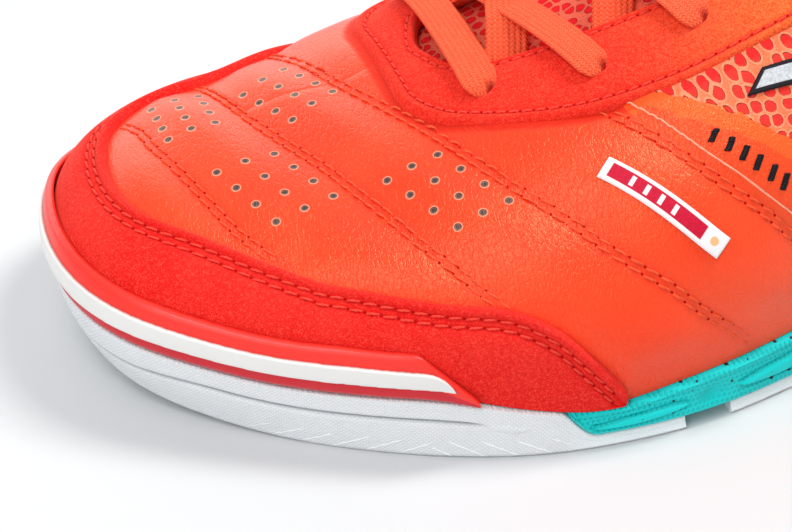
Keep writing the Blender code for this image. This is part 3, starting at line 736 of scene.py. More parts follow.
class Finish:
    """A material of named parts: colour, roughness and relief are worked out as expressions."""

    def __init__(self, name, roughness=0.5, **constants):
        self.material = bpy.data.materials.new(name)
        self.material.use_nodes = True
        self.tree = self.material.node_tree
        self.shader = self.tree.nodes["Principled BSDF"]
        self.shader.inputs["Roughness"].default_value = roughness
        for key, value in constants.items():
            self.shader.inputs[key.replace("_", " ")].default_value = value
        self.place = self.node("ShaderNodeTexCoord", {}, [], 3)
        self.relief = None

    def node(self, kind, settings, values, output=0):
        """New node with its settings set first, then its sockets; returns one output."""
        new = self.tree.nodes.new(kind)
        for key, value in settings.items():
            setattr(new, key, value)
        pairs = values.items() if isinstance(values, dict) else enumerate(values)
        for key, value in pairs:
            if isinstance(value, Wire):
                self.tree.links.new(value.socket, new.inputs[key])
            else:
                new.inputs[key].default_value = value
        return Wire(self, new.outputs[output])

    def mark(self, name, output=2):
        """A value stored on the mesh: number (2) or vector (1)."""
        return self.node("ShaderNodeAttribute", {"attribute_name": name}, [], output)

    def pair(self, name):
        """First two numbers of a vector stored on the mesh."""
        vector = self.mark(name, 1)
        return self.part(0, vector), self.part(1, vector)

    def noise(self, size, detail=3.0, rough=0.5, place=None, twist=0.0):
        """Cloudy noise with features of a size in metres."""
        values = {"Vector": place or self.place, "Scale": 1 / size, "Detail": detail,
                  "Roughness": rough, "Distortion": twist}
        return self.node("ShaderNodeTexNoise", {}, values)

    def cells(self, size, feature="F1", place=None, randomness=1.0, space="3D"):
        """Distance in a cell pattern of a size in metres."""
        values = {"Vector": place or self.place, "Scale": 1 / size, "Randomness": randomness}
        settings = {"voronoi_dimensions": space, "feature": feature}
        return self.node("ShaderNodeTexVoronoi", settings, values)

    def stretched(self, scale):
        """Object place stretched by a factor on each axis."""
        return self.node("ShaderNodeVectorMath", {"operation": "MULTIPLY"}, [self.place, scale])

    def part(self, axis, vector=None):
        """One coordinate of a vector."""
        return self.node("ShaderNodeSeparateXYZ", {}, [vector or self.place], axis)

    def dot(self, direction):
        """How far the place lies along a direction."""
        values = [self.place, tuple(direction)]
        return self.node("ShaderNodeVectorMath", {"operation": "DOT_PRODUCT"}, values, 1)

    def mix(self, factor, first, second):
        """Colour between two colours."""
        first, second = (c if isinstance(c, Wire) else (*c, 1.0) for c in (first, second))
        values = {0: factor, 6: first, 7: second}
        return self.node("ShaderNodeMix", {"data_type": "RGBA"}, values, 2)

    def bump(self, height, depth, strength=1.0):
        """Adds relief of a depth in metres."""
        values = {"Strength": strength, "Distance": depth, "Height": height}
        if self.relief:
            values["Normal"] = self.relief
        self.relief = self.node("ShaderNodeBump", {}, values)

    def done(self, colour, roughness=None, coat=None):
        """Connects what was worked out to the shader."""
        for key, value in (("Base Color", colour), ("Roughness", roughness), ("Coat Weight", coat),
                           ("Normal", self.relief)):
            if isinstance(value, Wire):
                self.tree.links.new(value.socket, self.shader.inputs[key])
            elif value is not None:
                self.shader.inputs[key].default_value = (*value, 1.0)
        return self.material


def shade(colour, factor):
    """A colour made lighter or darker."""
    return tuple(min(1.0, c * factor) for c in colour)


def punched_groups():
    """For each punched group: its first hole and the directions along and across its rows.

    The directions are scaled so that a dot product with the place counts holes: 0 to 3 along
    a row and 0 to 2 across the rows.
    """
    groups = []
    for corners in PUNCHED:
        a, b, c, d = snap(np.array(corners) / 1000)[0]
        along, across = (b - a + d - c) / 6, (c - a + d - b) / 4
        middle = (a + b + c + d) / 4
        pair = np.linalg.pinv(np.stack([along, across], 1))
        first = middle - 1.5 * along - across - FRAME_ORIGIN
        groups.append((first, pair, np.linalg.norm(along), np.linalg.norm(across)))
    return groups


def tanned_hide(f, colours, clouds):
    """Cloudy hide with darker pores, painted shade in the seams, along the overlays' edges and in the stretch
    creases, and wrinkles in relief; coarser behind the light edge.
    """
    coarse = f.mark("rear").step(-0.0004, 0.0004)
    hide = f.mix(clouds.step(0.35, 0.7), colours.leather, colours.leather_light)
    # Painted shade in and beside the seams of the vamp
    hide = f.mix(f.mark("seam").step(0.0026, 0.0004) * 0.6, hide, colours.leather_grain_and_shade)
    # Painted shade along the toe cap's edge and under the eyestay's outer edge
    hide = f.mix(f.mark("tuck") * 0.9, hide, colours.painted_edge_shade)
    pores = f.cells(0.00062, "DISTANCE_TO_EDGE", f.stretched((1.25, 0.7, 0.8)))
    grain = f.cells(0.00095, "DISTANCE_TO_EDGE")
    pattern = pores.step(0.0, 0.2) * (1 - coarse) + grain.step(0.0, 0.26) * coarse
    hide = f.mix((1 - pattern) * (0.10 + coarse * 0.2), hide, colours.leather_grain_and_shade)
    wrinkles = f.noise(0.0017, 3.0, 0.6, f.stretched((1.9, 0.5, 0.8)), 0.6)
    crackle = f.cells(0.0012, "DISTANCE_TO_EDGE", f.stretched((1.35, 0.55, 0.75))).step(0.0, 0.14)
    # Painted shade in the fine stretch creases
    hide = f.mix((1 - crackle) * 0.16 * (1 - coarse), hide, colours.leather_grain_and_shade)
    f.bump(wrinkles, 0.00024, 0.5)
    f.bump(crackle, 0.00012, 0.38)
    f.bump(f.noise(0.0006, 2.0), 0.00005, 0.5)
    f.bump(pattern, 0.00006, 0.35 + coarse * 0.5)
    return hide


def punched_distance(f):
    """Distance from the nearest punched hole: the place in steps of the rows, less the whole steps."""
    hole = None
    for first, pair, along, across in punched_groups():
        i = f.dot(pair[0]) - float(pair[0] @ first)
        j = f.dot(pair[1]) - float(pair[1] @ first)
        off_i = (i - i.rounded().most(0.0).least(3.0)) * along
        off_j = (j - j.rounded().most(0.0).least(2.0)) * across
        skew = 2 * float(pair[0] @ pair[1]) / float(np.linalg.norm(pair[0]) * np.linalg.norm(pair[1]))
        away = (off_i * off_i + off_j * off_j - off_i * off_j * skew) ** 0.5
        hole = away if hole is None else hole.least(away)
    return hole


def punched_holes(f, hide, colours, radius):
    """Punched holes: a pale cut rim, then the backing, with painted shade darkening it towards the middle."""
    hole = punched_distance(f)
    hide = f.mix(hole.step(radius * 1.5, radius * 1.15) * 0.75, hide, colours.rim)
    hide = f.mix(hole.step(radius * 1.1, radius * 0.85), hide, colours.lining)
    # Painted shade deep in the hole
    hide = f.mix(hole.step(radius * 0.80, radius * 0.50), hide, shade(colours.lining, 0.25))
    f.bump(hole.step(radius * 0.7, radius * 1.15), 0.0006, 0.9)
    return hide


def knit_openings(f, size, place, randomness, web, opening):
    """Openings of a knit: 1 inside each cell, 0 on the web; and the distance from the cell's middle."""
    edge = f.cells(size, "DISTANCE_TO_EDGE", place, randomness, "2D")
    middle = f.cells(size, "F1", place, randomness, "2D")
    return edge.step(web, web + 0.05) * middle.step(opening, opening - 0.07), middle


def mesh_quarter(f, hide, colours):
    """Open mesh let into the quarter, with the welded film along its edge; its mask comes back too."""
    side_view = f.node("ShaderNodeCombineXYZ", {}, [f.part(0), f.part(2) * 1.35, 0.0])
    open_web, middle = knit_openings(f, MESH_CELL, side_view, 0.55, 0.09, 0.42)
    edge = f.noise(0.004, 1.0) * 0.003 - 0.0015
    mesh = (f.mark("mesh") + edge).step(-0.0001, 0.0003)
    yarn = f.noise(0.0004, 3.0, 0.7)
    strand = f.mix(yarn.step(0.3, 0.7), shade(colours.web, 0.7), colours.web)
    strand = f.mix(middle.step(0.56, 0.46) * 0.35, strand, colours.rim)
    net = f.mix(open_web, strand, colours.web_deep)
    hide = f.mix(mesh, hide, net)
    film = (f.mark("mesh") + edge).step(-0.0042, -0.0036) * (1 - mesh)
    hide = f.mix(film * 0.65, hide, colours.film)
    f.bump((1 - open_web) * mesh, 0.0007, 0.9)
    f.bump(1 - mesh, 0.0004, 0.8)
    return hide, mesh


def leather_finish(colours, sizes):
    """Smooth orange leather with punched holes, a mesh quarter and a suede heel counter."""
    f = Finish("orange_leather", 0.4, Specular_IOR_Level=0.85, Specular_Tint=(1.0, 0.60, 0.29, 1.0))
    clouds = f.noise(0.022, 2.0)
    hide = tanned_hide(f, colours, clouds)
    hide = punched_holes(f, hide, colours, sizes.hole / 2)
    hide, mesh = mesh_quarter(f, hide, colours)
    back = f.part(0).step(-0.055, 0.04)
    hide = f.mix(back * (1 - mesh) * 0.4, hide, colours.rear)
    counter = f.mark("counter").step(-0.0002, 0.0003)
    nap = f.noise(0.00045, 3.0, 0.7)
    suede = f.mix(nap.step(0.3, 0.7), shade(colours.suede, 0.7), shade(colours.suede, 1.15))
    hide = f.mix(counter, hide, suede)
    f.bump(nap * counter, 0.0002, 0.7)
    rough = 0.30 + clouds * 0.08 + mesh * 0.4 + counter * 0.4 + f.mark("tuck") * 0.5
    return f.done(hide, rough)


def suede_finish(name, colour, colour_back, sizes):
    """Suede: short nap in clumps, brighter and darker as it lies, with a soft sheen and painted shade in its
    stitched furrows.
    """
    f = Finish(name, 0.9, Sheen_Weight=0.3, Sheen_Roughness=0.4, Sheen_Tint=(1.0, 0.3, 0.2, 1.0),
               Specular_IOR_Level=0.1)
    fine = f.noise(sizes.nap, 2.0, 0.7)
    clump = f.noise(sizes.nap * 2.6, 2.0, 0.6)
    cloud = f.noise(0.016, 2.0)
    nap = fine * 0.7 + clump * 0.3
    base = f.mix(f.part(0).step(-0.05, 0.02), colour, colour_back)
    dark = f.mix(0.65, base, (0.60, 0.003, 0.005))
    light = f.mix(0.35, base, colour_light(colour))
    hide = f.mix(nap.step(0.40, 0.54), dark, base)
    hide = f.mix(nap.step(0.52, 0.62) * 0.8, hide, light)
    hide = f.mix(cloud.step(0.4, 0.7) * 0.15, hide, light)
    # Painted shade in the stitched furrows
    hide = f.mix(f.mark("painted_furrow_shade") * 0.75, hide, (0.66, 0.003, 0.004))
    f.bump(nap, 0.00034, 0.7)
    return f.done(hide)


def colour_light(colour):
    """A paler, warmer version of a colour."""
    return tuple(c + (1 - c) * k for c, k in zip(colour, (0.8, 0.16, 0.09)))


def rubber_finish(name, colour, roughness, mottle=0.05, coat=0.0):
    """Smooth moulded rubber with a faint mottle, handling marks and, on the bumper, painted shade below the
    stripe.
    """
    f = Finish(name, roughness, Coat_Weight=coat, Coat_Roughness=0.2, Specular_IOR_Level=0.3)
    cloud = f.noise(0.012, 3.0)
    marks = f.noise(0.0016, 4.0, 0.7, f.stretched((0.3, 0.3, 1.5)))
    skin = f.mix(cloud.step(0.3, 0.75) * 4 * mottle, colour, shade(colour, 0.86))
    # Painted shade on the bumper's face below the stripe
    skin = f.mix(f.mark("low") * 0.85, skin, (0.55, 0.004, 0.018))
    f.bump(marks, 0.00003, 0.5)
    return f.done(skin, roughness - 0.05 + cloud * 0.12)


def white_rubber_finish(colours):
    """Pale outsole rubber: fine diamond knurl on its side with painted shade in its grooves, and a
    herringbone tread below.
    """
    f = Finish("pale_outsole_rubber", 0.55)
    along, up = f.pair("side")
    waves = 2 * math.pi / KNURL_PITCH
    knurl = ((along * 0.86 + up) * waves).sine().least(((along * 0.86 - up) * waves).sine())
    fine = f.noise(0.0005, 3.0, 0.7)
    on_side = 1 - f.mark("under")
    x, y = f.part(0), f.part(1)
    column = y / HERRINGBONE_WIDTH
    tread = ((x + abs(column - column.rounded()) * 0.008) * (2 * math.pi / HERRINGBONE_PITCH)).sine()
    cloud = f.noise(0.02, 3.0)
    dust = f.noise(0.0035, 5.0, 0.75)
    lean = (along - SLASH_TURN).step(-0.0001, 0.0001) * 2 - 1
    place = (along + (up * 2.1) * lean) / SLASH_PITCH
    slash = abs(place - place.rounded()).step(0.075, 0.04) * up.step(0.0002, 0.0006) * up.step(0.0042, 0.0034)
    slash = slash * on_side * x.step(-0.122, -0.112) * x.step(-0.058, -0.068)
    skin = f.mix(cloud.step(0.3, 0.8) * 0.5, colours.pale, shade(colours.pale, 0.93))
    side = on_side * (1 - x.step(-0.066, -0.058) * 0.75)
    # Painted shade in the knurl's grooves
    skin = f.mix(knurl.step(0.0, -0.8) * side * 0.40, skin, shade(colours.pale, 0.72))
    skin = f.mix(dust.step(0.62, 0.8) * 0.25, skin, shade(colours.pale, 0.8))
    # Painted shade in the incised line
    skin = f.mix(f.mark("shaded_furrow") * 0.85, skin, colours.shaded_furrow)
    skin = f.mix(slash, skin, shade(colours.pale, 1.15))
    f.bump(knurl.step(-0.9, 0.3) * side * (1 - slash), 0.00018, 0.7)
    f.bump(slash, 0.0004, 0.8)
    f.bump(tread.step(-0.4, 0.4) * f.mark("under"), 0.0007, 0.9)
    f.bump(fine, 0.00008, 0.5)
    return f.done(skin)


def foam_finish(colours):
    """Teal midsole foam: fine dimples, dark specks and moulded lens shapes on its side, with painted shade in
    the dimples, the lenses' sunk rims and the flex dimples.
    """
    f = Finish("teal_midsole_foam", 0.5, Specular_IOR_Level=0.25)
    along, up = f.pair("side")
    column, row = along / DIMPLE_PITCH, up / DIMPLE_PITCH
    shifted = column + row.rounded() * 0.5
    dimple = ((shifted - shifted.rounded()) ** 2.0 + (row - row.rounded()) ** 2.0) ** 0.5
    specks = f.cells(0.0024)
    size = f.noise(0.004, 1.0)
    dark = (specks - (size - 0.5) * 0.5).step(0.17, 0.12)
    cloud = f.noise(0.015, 3.0)
    plain = f.mark("plain")
    skin = f.mix(cloud.step(0.3, 0.75) * 0.35, colours.foam, shade(colours.foam, 1.2))
    # Painted shade in the dimples
    skin = f.mix(dimple.step(0.34, 0.18) * 0.4 * (1 - plain), skin, shade(colours.foam, 0.6))
    # Painted shade in the lenses' sunk rims and the flex dimples
    skin = f.mix(f.mark("shaded_furrow") * 0.4, skin, shade(colours.foam, 0.5))
    skin = f.mix(dark, skin, (0.012, 0.02, 0.03))
    f.bump(dimple.step(0.18, 0.38) * (1 - plain), 0.00022, 0.8)
    f.bump(f.noise(0.0007, 3.0, 0.6), 0.0001, 0.4)
    return f.done(skin)


def braid_finish(colours):
    """Flat woven lace: lengthwise cords of slanted yarns that lean to and fro, with painted shade between
    them and at the lace's ends, and painted highlights on its fuzz.
    """
    f = Finish("woven_lace", 0.8, Specular_IOR_Level=0.12)
    along, across = f.pair("weave")
    cord = across / (LACE_WIDTH / LACE_CORDS)
    off = abs(cord - cord.rounded())
    yarn = ((along + off * 0.0009) * (2 * math.pi / YARN_PITCH)).sine()
    ridge = 1 - off * 2.0
    fuzz = f.noise(0.0003, 3.0, 0.7)
    # Painted shade between the yarns and between the cords
    skin = f.mix(yarn.step(-1.1, 0.3), colours.lace_weave_shade, colours.lace)
    skin = f.mix(ridge.step(0.35, 0.0) * 0.6, skin, colours.lace_weave_shade)
    # Painted highlight on the fuzz
    skin = f.mix(fuzz.step(0.45, 0.75) * 0.5, skin, colours.lace_light)
    # Painted shade where the lace's end dives into its eyelet
    skin = f.mix(f.mark("tuck"), skin, (0.26, 0.002, 0.002))
    f.bump(yarn * 0.25 + ridge.step(0.0, 0.8), 0.00026, 0.85)
    f.bump(fuzz, 0.00008, 0.5)
    return f.done(skin)


def mesh_cloth_finish(name, web, deep, size):
    """Open knitted mesh: a padded web over a deeper ground."""
    f = Finish(name, 0.85, Specular_IOR_Level=0.15)
    yarn = f.noise(0.0004, 3.0, 0.7)
    gap, _ = knit_openings(f, size, None, 0.6, 0.08, 0.44)
    skin = f.mix(gap, f.mix(yarn.step(0.3, 0.7), shade(web, 0.7), web), deep)
    f.bump(1 - gap, 0.0007, 0.9)
    f.bump(yarn, 0.0001, 0.6)
    return f.done(skin)


def cloth_finish(name, colour, size=0.0009):
    """Plain woven lining: crossed threads."""
    f = Finish(name, 0.85, Sheen_Weight=0.3, Specular_IOR_Level=0.2)
    one = (f.dot((1.0, 0.35, 0.2)) * (2 * math.pi / size)).sine()
    two = (f.dot((-0.3, 0.8, 0.9)) * (2 * math.pi / size)).sine()
    yarn = one * two
    fuzz = f.noise(0.0005, 3.0)
    skin = f.mix(yarn.step(-0.5, 0.5), shade(colour, 0.7), colour)
    skin = f.mix(fuzz.step(0.5, 0.8) * 0.4, skin, shade(colour, 1.3))
    f.bump(yarn, 0.00012, 0.7)
    return f.done(skin)


def thread_finish(name, colour):
    """Twisted sewing thread."""
    f = Finish(name, 0.6, Specular_IOR_Level=0.15)
    twist = (f.dot((1.0, 1.0, 0.6)) * (2 * math.pi / THREAD_PITCH)).sine()
    skin = f.mix(twist.step(-0.4, 0.6), shade(colour, 0.75), colour)
    f.bump(twist, 0.00006, 0.6)
    return f.done(skin)


def shadow_finish(name, size, first, second):
    """Dull dark depth of a small hole."""
    f = Finish(name, 0.9, Specular_IOR_Level=0.05)
    return f.done(f.mix(f.noise(size).step(0.3, 0.7), first, second))


def inside_edges(place):
    """Distance of a place from 0 to 1 from the nearer of its two ends."""
    return 0.5 - abs(place - 0.5)


def label_finish():
    """Printed side label: a crimson bar on white, with plain slots and no lettering."""
    f = Finish("side_label_print", 0.6, Specular_IOR_Level=0.2)
    u, v = f.pair("print")
    bar = inside_edges(v).step(0.17, 0.2) * (u.step(0.045, 0.055) * u.step(0.81, 0.8))
    slots = u * LABEL_SLOTS
    slot = abs(slots - slots.rounded()).step(0.16, 0.12) * u.step(0.17, 0.18) * u.step(0.62, 0.61)
    slot = slot * inside_edges(v).step(0.27, 0.3)
    dot = (((u - 0.9) * LABEL_PROPORTION) ** 2.0 + (v - 0.5) ** 2.0) ** 0.5
    grain = f.noise(0.0006, 3.0, 0.7)
    white = (0.80, 0.77, 0.77)
    skin = f.mix(bar, white, f.mix(grain.step(0.4, 0.7), (0.50, 0.003, 0.028), (0.62, 0.006, 0.040)))
    skin = f.mix(slot, skin, white)
    skin = f.mix(dot.step(0.2, 0.17), skin, (0.8, 0.45, 0.2))
    f.bump(grain, 0.00004, 0.5)
    return f.done(skin)


def patch_finish():
    """Silver reflective cloth with a dark sewn border."""
    f = Finish("silver_patch_cloth", 0.35, Specular_IOR_Level=0.25)
    u, v = f.pair("print")
    inside = inside_edges(v).step(0.17, 0.20) * inside_edges(u).step(0.035, 0.045)
    fine = f.noise(0.0005, 3.0, 0.7)
    silver = f.mix(fine.step(0.3, 0.7), (0.42, 0.43, 0.45), (0.62, 0.64, 0.67))
    skin = f.mix(inside, (0.006, 0.004, 0.008), silver)
    f.bump(inside, 0.0003, 0.6)
    f.bump(fine, 0.00005, 0.6)
    return f.done(skin, 0.65 - inside * 0.3)


def new_piece(name, points, faces, finish, marks=None, smooth_shaded=True):
    """Object from points in the last's coordinates and faces, riding on the shoe's body.

    Each mark is a value or a vector for each point, stored on the mesh for its finish.
    """
    points = np.asarray(points, float).reshape(-1, 3) - FRAME_ORIGIN
    faces = np.asarray(faces)
    mesh = bpy.data.meshes.new(name)
    mesh.from_pydata(points.tolist(), [], faces.tolist())
    for key, values in (marks or {}).items():
        values = np.asarray(values, np.float32)
        vector = values.ndim > 1 and values.shape[-1] == 3 and values.size == points.size
        kind, field = ("FLOAT_VECTOR", "vector") if vector else ("FLOAT", "value")
        mesh.attributes.new(key, kind, "POINT").data.foreach_set(field, values.ravel())
    mesh.materials.append(finish)
    if smooth_shaded:
        mesh.shade_smooth()
    mesh.validate()
    piece = bpy.data.objects.new(name, mesh)
    bpy.context.scene.collection.objects.link(piece)
    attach(piece, "root")
    return piece


def grid_faces(n, m, wrap=False, wrap_rows=False, apart=None, flip=False):
    """Quads of an n by m grid of points; either direction may close on itself.

    apart is a row of quads that is left out.
    """
    grid = np.arange(n * m).reshape(n, m)
    after = np.roll(grid, -1, axis=0)
    if not wrap:
        grid, after = grid[:-1], after[:-1]
    if apart is not None:
        keep = np.arange(len(grid)) != apart
        grid, after = grid[keep], after[keep]
    if wrap_rows:
        a, b, c, d = grid, after, np.roll(after, -1, 1), np.roll(grid, -1, 1)
    else:
        a, b, c, d = grid[:, :-1], after[:, :-1], after[:, 1:], grid[:, 1:]
    faces = np.stack([a, b, c, d], -1).reshape(-1, 4)
    return faces[:, ::-1] if flip else faces


def shoe_loop(step_front, step_back, toe, heel, start=TOE_SPINE, end=REAR_SPINE, split=0.135):
    """Loop with closely spaced stations in front and wider ones behind."""
    front = np.arange(start, min(split, end), step_front)
    back = np.arange(min(split, end), end, step_back)
    return Loop(np.unique(np.r_[front, back, end]), toe, heel)


def quarter_marks(loop, points, share):
    """Fields of the quarter: how far inside the mesh, and the heel counter."""
    x = loop.foot[:, :1] + 0 * share
    low = (share - curve(MESH_LOW, x)) * RIB_LENGTH
    front = (x - 0.1045) * 0.9
    behind = 0.189 - x + (share - 0.5) * 0.03
    top = (curve(TOPLINE, x) * COLLAR_HEIGHT) - points[..., 2] - 0.012
    top = np.where(x > 0.172, top, 1.0)
    mesh = np.minimum(np.minimum(low, front), np.minimum(behind, top))
    counter = x - 0.226 - 0.022 * smooth(0.1, 0.7, share)
    return mesh, counter


def edge_rows(feet, low, high, distances, rest):
    """Shares of each rib at distances, square to the overlay's edge, below its upper edge.

    Past the last distance the rest of the rib is divided evenly. A distance is lengthened
    where the edge runs aslant to the rib.
    """
    steps = np.linspace(0, 1, 160)[None]
    share = high[:, None] + (low - high)[:, None] * steps
    points, _, upward = last_frame(feet, share)
    walk = np.cumsum(np.linalg.norm(np.diff(points, axis=1, prepend=points[:, :1]), axis=2), axis=1)
    along = np.gradient(points[:, 0], axis=0)
    along /= np.linalg.norm(along, axis=1)[:, None] + 1e-12
    slant = np.clip(np.linalg.norm(np.cross(along, upward[:, 0]), axis=1), 0.35, 1)
    rows = []
    for i in range(len(share)):
        want = np.asarray(distances) / slant[i]
        more = want[-1] + (walk[i, -1] - want[-1]) * np.arange(1, rest + 1) / rest
        rows.append(np.interp(np.r_[want, np.maximum(more, want[-1])], walk[i], share[i]))
    return np.array(rows)


def resample(points, pitch, offset=0.5):
    """Places at an even pitch along a curve of points, with the index as a real number."""
    walk = walked(points)
    count = int(walk[-1] / pitch)
    return np.interp((np.arange(count) + offset) * pitch, walk, np.arange(len(points)))


def read_at(values, index):
    """Values of an array between its rows."""
    i = np.clip(index.astype(int), 0, len(values) - 2)
    k = (index - i)[:, None]
    return values[i] * (1 - k) + values[i + 1] * k


def row_places(points, normals, pitch):
    """Middle, direction and normal of each stitch along a row."""
    index = resample(points, pitch)
    middle = read_at(points, index)
    normal = read_at(normals, index)
    along = unit(read_at(np.gradient(points, axis=0), index))
    normal = unit(normal - (normal * along).sum(1, keepdims=True) * along)
    return middle, along, normal


def stitch_row(name, rows, pitch, finish, radius=THREAD_RADIUS, slant=0.12, fill=0.86):
    """Stitches as slim arched capsules along rows of points and normals.

    Each is five rings of six points round an arc: its middle stands proud and its ends dive in.
    slant turns it out of the row, and fill is its share of the pitch.
    """
    places = [row_places(points, normals, pitch) for points, normals in rows]
    middle, along, normal = (np.concatenate(part) for part in zip(*places))
    across = np.cross(normal, along)
    along = along * math.cos(slant) + across * math.sin(slant)
    across = np.cross(normal, along)
    t = np.array([-1.0, -0.82, 0.0, 0.82, 1.0])
    thick = radius * np.array([0.15, 0.8, 1.0, 0.8, 0.15])
    rise = radius * np.array([-1.2, 0.1, 0.75, 0.1, -1.2])
    turn = np.arange(6) * math.pi / 3
    length = pitch * fill / 2
    places = (middle[:, None, None] + along[:, None, None] * (t * length)[None, :, None, None]
              + normal[:, None, None] * (rise[:, None] + thick[:, None] * np.sin(turn))[None, :, :, None]
              + across[:, None, None] * (thick[:, None] * np.cos(turn))[None, :, :, None])
    one = grid_faces(5, 6, wrap_rows=True)
    caps = np.array([[0, 1, 2, 3], [0, 3, 4, 5], [24, 27, 26, 25], [24, 29, 28, 27]])
    faces = repeated(np.vstack([one, caps]), len(middle), 30)
    return new_piece(name, places, faces, finish)


def needle_holes(name, rows, pitch, finish, radius=0.00025, lift=0.00006):
    """Small dark eight-sided spots of painted shade where the thread dives in."""
    places = []
    for points, normals in rows:
        index = resample(points, pitch, 0.0)
        along = unit(read_at(np.gradient(points, axis=0), index))
        places.append((read_at(points, index), along, read_at(normals, index)))
    middle, along, normal = (np.concatenate(part) for part in zip(*places))
    across = np.cross(normal, along)
    turn = np.arange(8) * math.pi / 4
    ring = (middle[:, None] + normal[:, None] * lift
            + along[:, None] * (1.2 * radius * np.cos(turn))[None, :, None]
            + across[:, None] * (radius * np.sin(turn))[None, :, None])
    fan = np.array([[0, 1, 2, 3], [0, 3, 4, 7], [7, 4, 5, 6]])
    return new_piece(name, ring, repeated(fan, len(middle), 8), finish, smooth_shaded=False)


def twin_rows(line, half_apart, normals):
    """Two rows at a distance to either side of a curve on the last."""
    across = np.cross(normals, unit(np.gradient(line, axis=0)))
    return [line + across * half_apart, line - across * half_apart]


def make_upper(sizes, colours):
    """Leather skin: the last's points by foot and share of the rib, moved out by the relief.

    Its upper edge turns over in a half circle. The marks are fields for its finish.
    """
    loop = shoe_loop(0.00085, 0.0019, 132, 70)
    top = opening_share(loop)
    rows = np.linspace(0, 1, 84)[None]
    share = top[:, None] * rows
    points, normal, upward = last_frame(loop, share)
    away = seam_distance(points)
    from_top = np.where(top[:, None] < CLOSED_SHARE, (top[:, None] - share) * RIB_LENGTH, 1.0)
    keep_flat = smooth(0.0, 0.006, from_top) * smooth(0.0, 0.14, share)
    high = np.where(loop.foot[:, 0] < TOE_CAP_END, cap_edge_shares(loop), 0.0)[:, None]
    beyond_cap = smooth(-0.02, 0.10, share - high)
    proud = vamp_relief(points, sizes.puff, away) * keep_flat * beyond_cap
    stay_edge = on_last(*eyestay_net()[0].T)[0]
    from_stay = signed_side(points, stay_edge)
    throat_rib = np.argmin(abs(loop.foot[:, 0] - THROAT_MIDDLE))
    from_stay = from_stay * np.sign(from_stay[throat_rib, -1])
    from_stay = np.where(loop.foot[:, :1] < EYESTAY_END, from_stay, -1.0)
    proud = proud * (1 - 0.3 * smooth(-0.006, -0.001, from_stay))
    in_front = loop.foot[:, 0] < LIGHT_EDGE_END
    rear = np.full(points.shape[:2], 1.0)
    rear[in_front] = signed_side(points[in_front], QUARTER_LINE)
    rear = np.where((loop.foot[:, 1:2] < 0) & (loop.foot[:, :1] >= QUARTER_START), rear, -1.0)
    fade = smooth(LIGHT_EDGE_END, LIGHT_EDGE_END - 0.01, loop.foot[:, :1])
    proud = proud + 0.00035 * smooth(-0.0002, 0.0005, rear) * fade * keep_flat
    mesh, counter = quarter_marks(loop, points, share)
    proud = proud - 0.0003 * smooth(0.0, 0.0012, mesh)
    points = points + normal * proud[..., None]
    # Mask of the painted shade along the toe cap's edge and under the eyestay's outer edge
    tuck = 0.3 * smooth(0.0016, 0.0, (share - high) * 0.07) * (high > 0.02)
    tuck = np.maximum(tuck, smooth(-0.0022, -0.0010, from_stay))
    wall = np.where(loop.foot[:, 0] > TONGUE_END, REAR_EDGE, FRONT_EDGE)
    turn = np.linspace(0, math.pi, 6)[1:]
    edge, edge_normal, edge_up = points[:, -1:], normal[:, -1:], upward[:, -1:]
    over = (edge + edge_normal * (wall[:, None] * (np.cos(turn) - 1))[..., None]
            + edge_up * (wall[:, None] * np.sin(turn))[..., None])
    points = np.concatenate([points, over], axis=1)

    def longer(values):
        """A mark carried on over the turned edge."""
        return np.concatenate([values, np.repeat(values[:, -1:], len(turn), axis=1)], axis=1)

    marks = {
        "seam": longer(away), "rear": longer(rear), "mesh": longer(mesh), "counter": longer(counter),
        "tuck": longer(tuck),
    }
    faces = grid_faces(*points.shape[:2], wrap=True)
    skin = new_piece("upper_leather", points, faces, leather_finish(colours, sizes), marks)
    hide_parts("upper")
    make_lining(loop, top, wall, colours)


def make_lining(loop, top, wall, colours):
    """Cloth inner face: the outer face moved in along its normals by the thickness there.

    The thickness is the wall's, with a half sine added down the collar behind the tongue.
    """
    pick = np.arange(0, len(loop.foot), 2)
    feet = Feet(loop.foot[pick])
    top, wall = top[pick], wall[pick]
    down = np.linspace(0, 1, 34)[None] ** 1.4
    share = top[:, None] * (1 - down)
    points, normal, _ = last_frame(feet, share)
    depth = points[:, :1, 2] - points[..., 2]
    behind = smooth(0, 1, (feet.foot[:, 0] - TONGUE_END - 0.0012) / COLLAR_PAD_RUN)[:, None]
    swell = np.sin(np.clip(depth / COLLAR_PAD_DEPTH, 0, 1) * math.pi) ** 0.7
    swell = np.where(depth < COLLAR_PAD_DEPTH, swell, 0)
    thick = UPPER_WALL + (COLLAR_PAD - UPPER_WALL) * behind * swell * 0.95
    fold = np.exp(-depth / 0.003)
    thick = np.maximum(thick, 2 * wall[:, None] * fold + UPPER_WALL * (1 - fold))
    thick[:, 0] = 2 * wall
    points = points - normal * thick[..., None]
    faces = grid_faces(*points.shape[:2], wrap=True)
    cloth = cloth_finish("lining_cloth", colours.lining_cloth)
    lining = new_piece("collar_lining", points, faces, cloth)


def overlay_height(distance):
    """Rise of a suede overlay by the distance from its cut edge.

    A quarter round at the edge and a soft roll, a bell curve, behind it.
    """
    full = OVERLAY_GAP + SUEDE
    rise = full * np.sqrt(np.clip(1 - (1 - np.clip(distance / CUT_RADIUS, 0, 1)) ** 2, 0, 1))
    return rise + ROLL_HEIGHT * bell(distance, ROLL_PLACE, ROLL_WIDTH)


def cap_edge_shares(loop):
    """Upper edge of the toe cap as a share of each rib."""
    lateral = curve(CAP_EDGE, loop.foot[:, 0], 1, TOE_CAP_END)
    medial = curve(CAP_EDGE, loop.foot[:, 0], 2, TOE_CAP_END)
    return np.where(loop.foot[:, 1] > 0, medial, lateral)


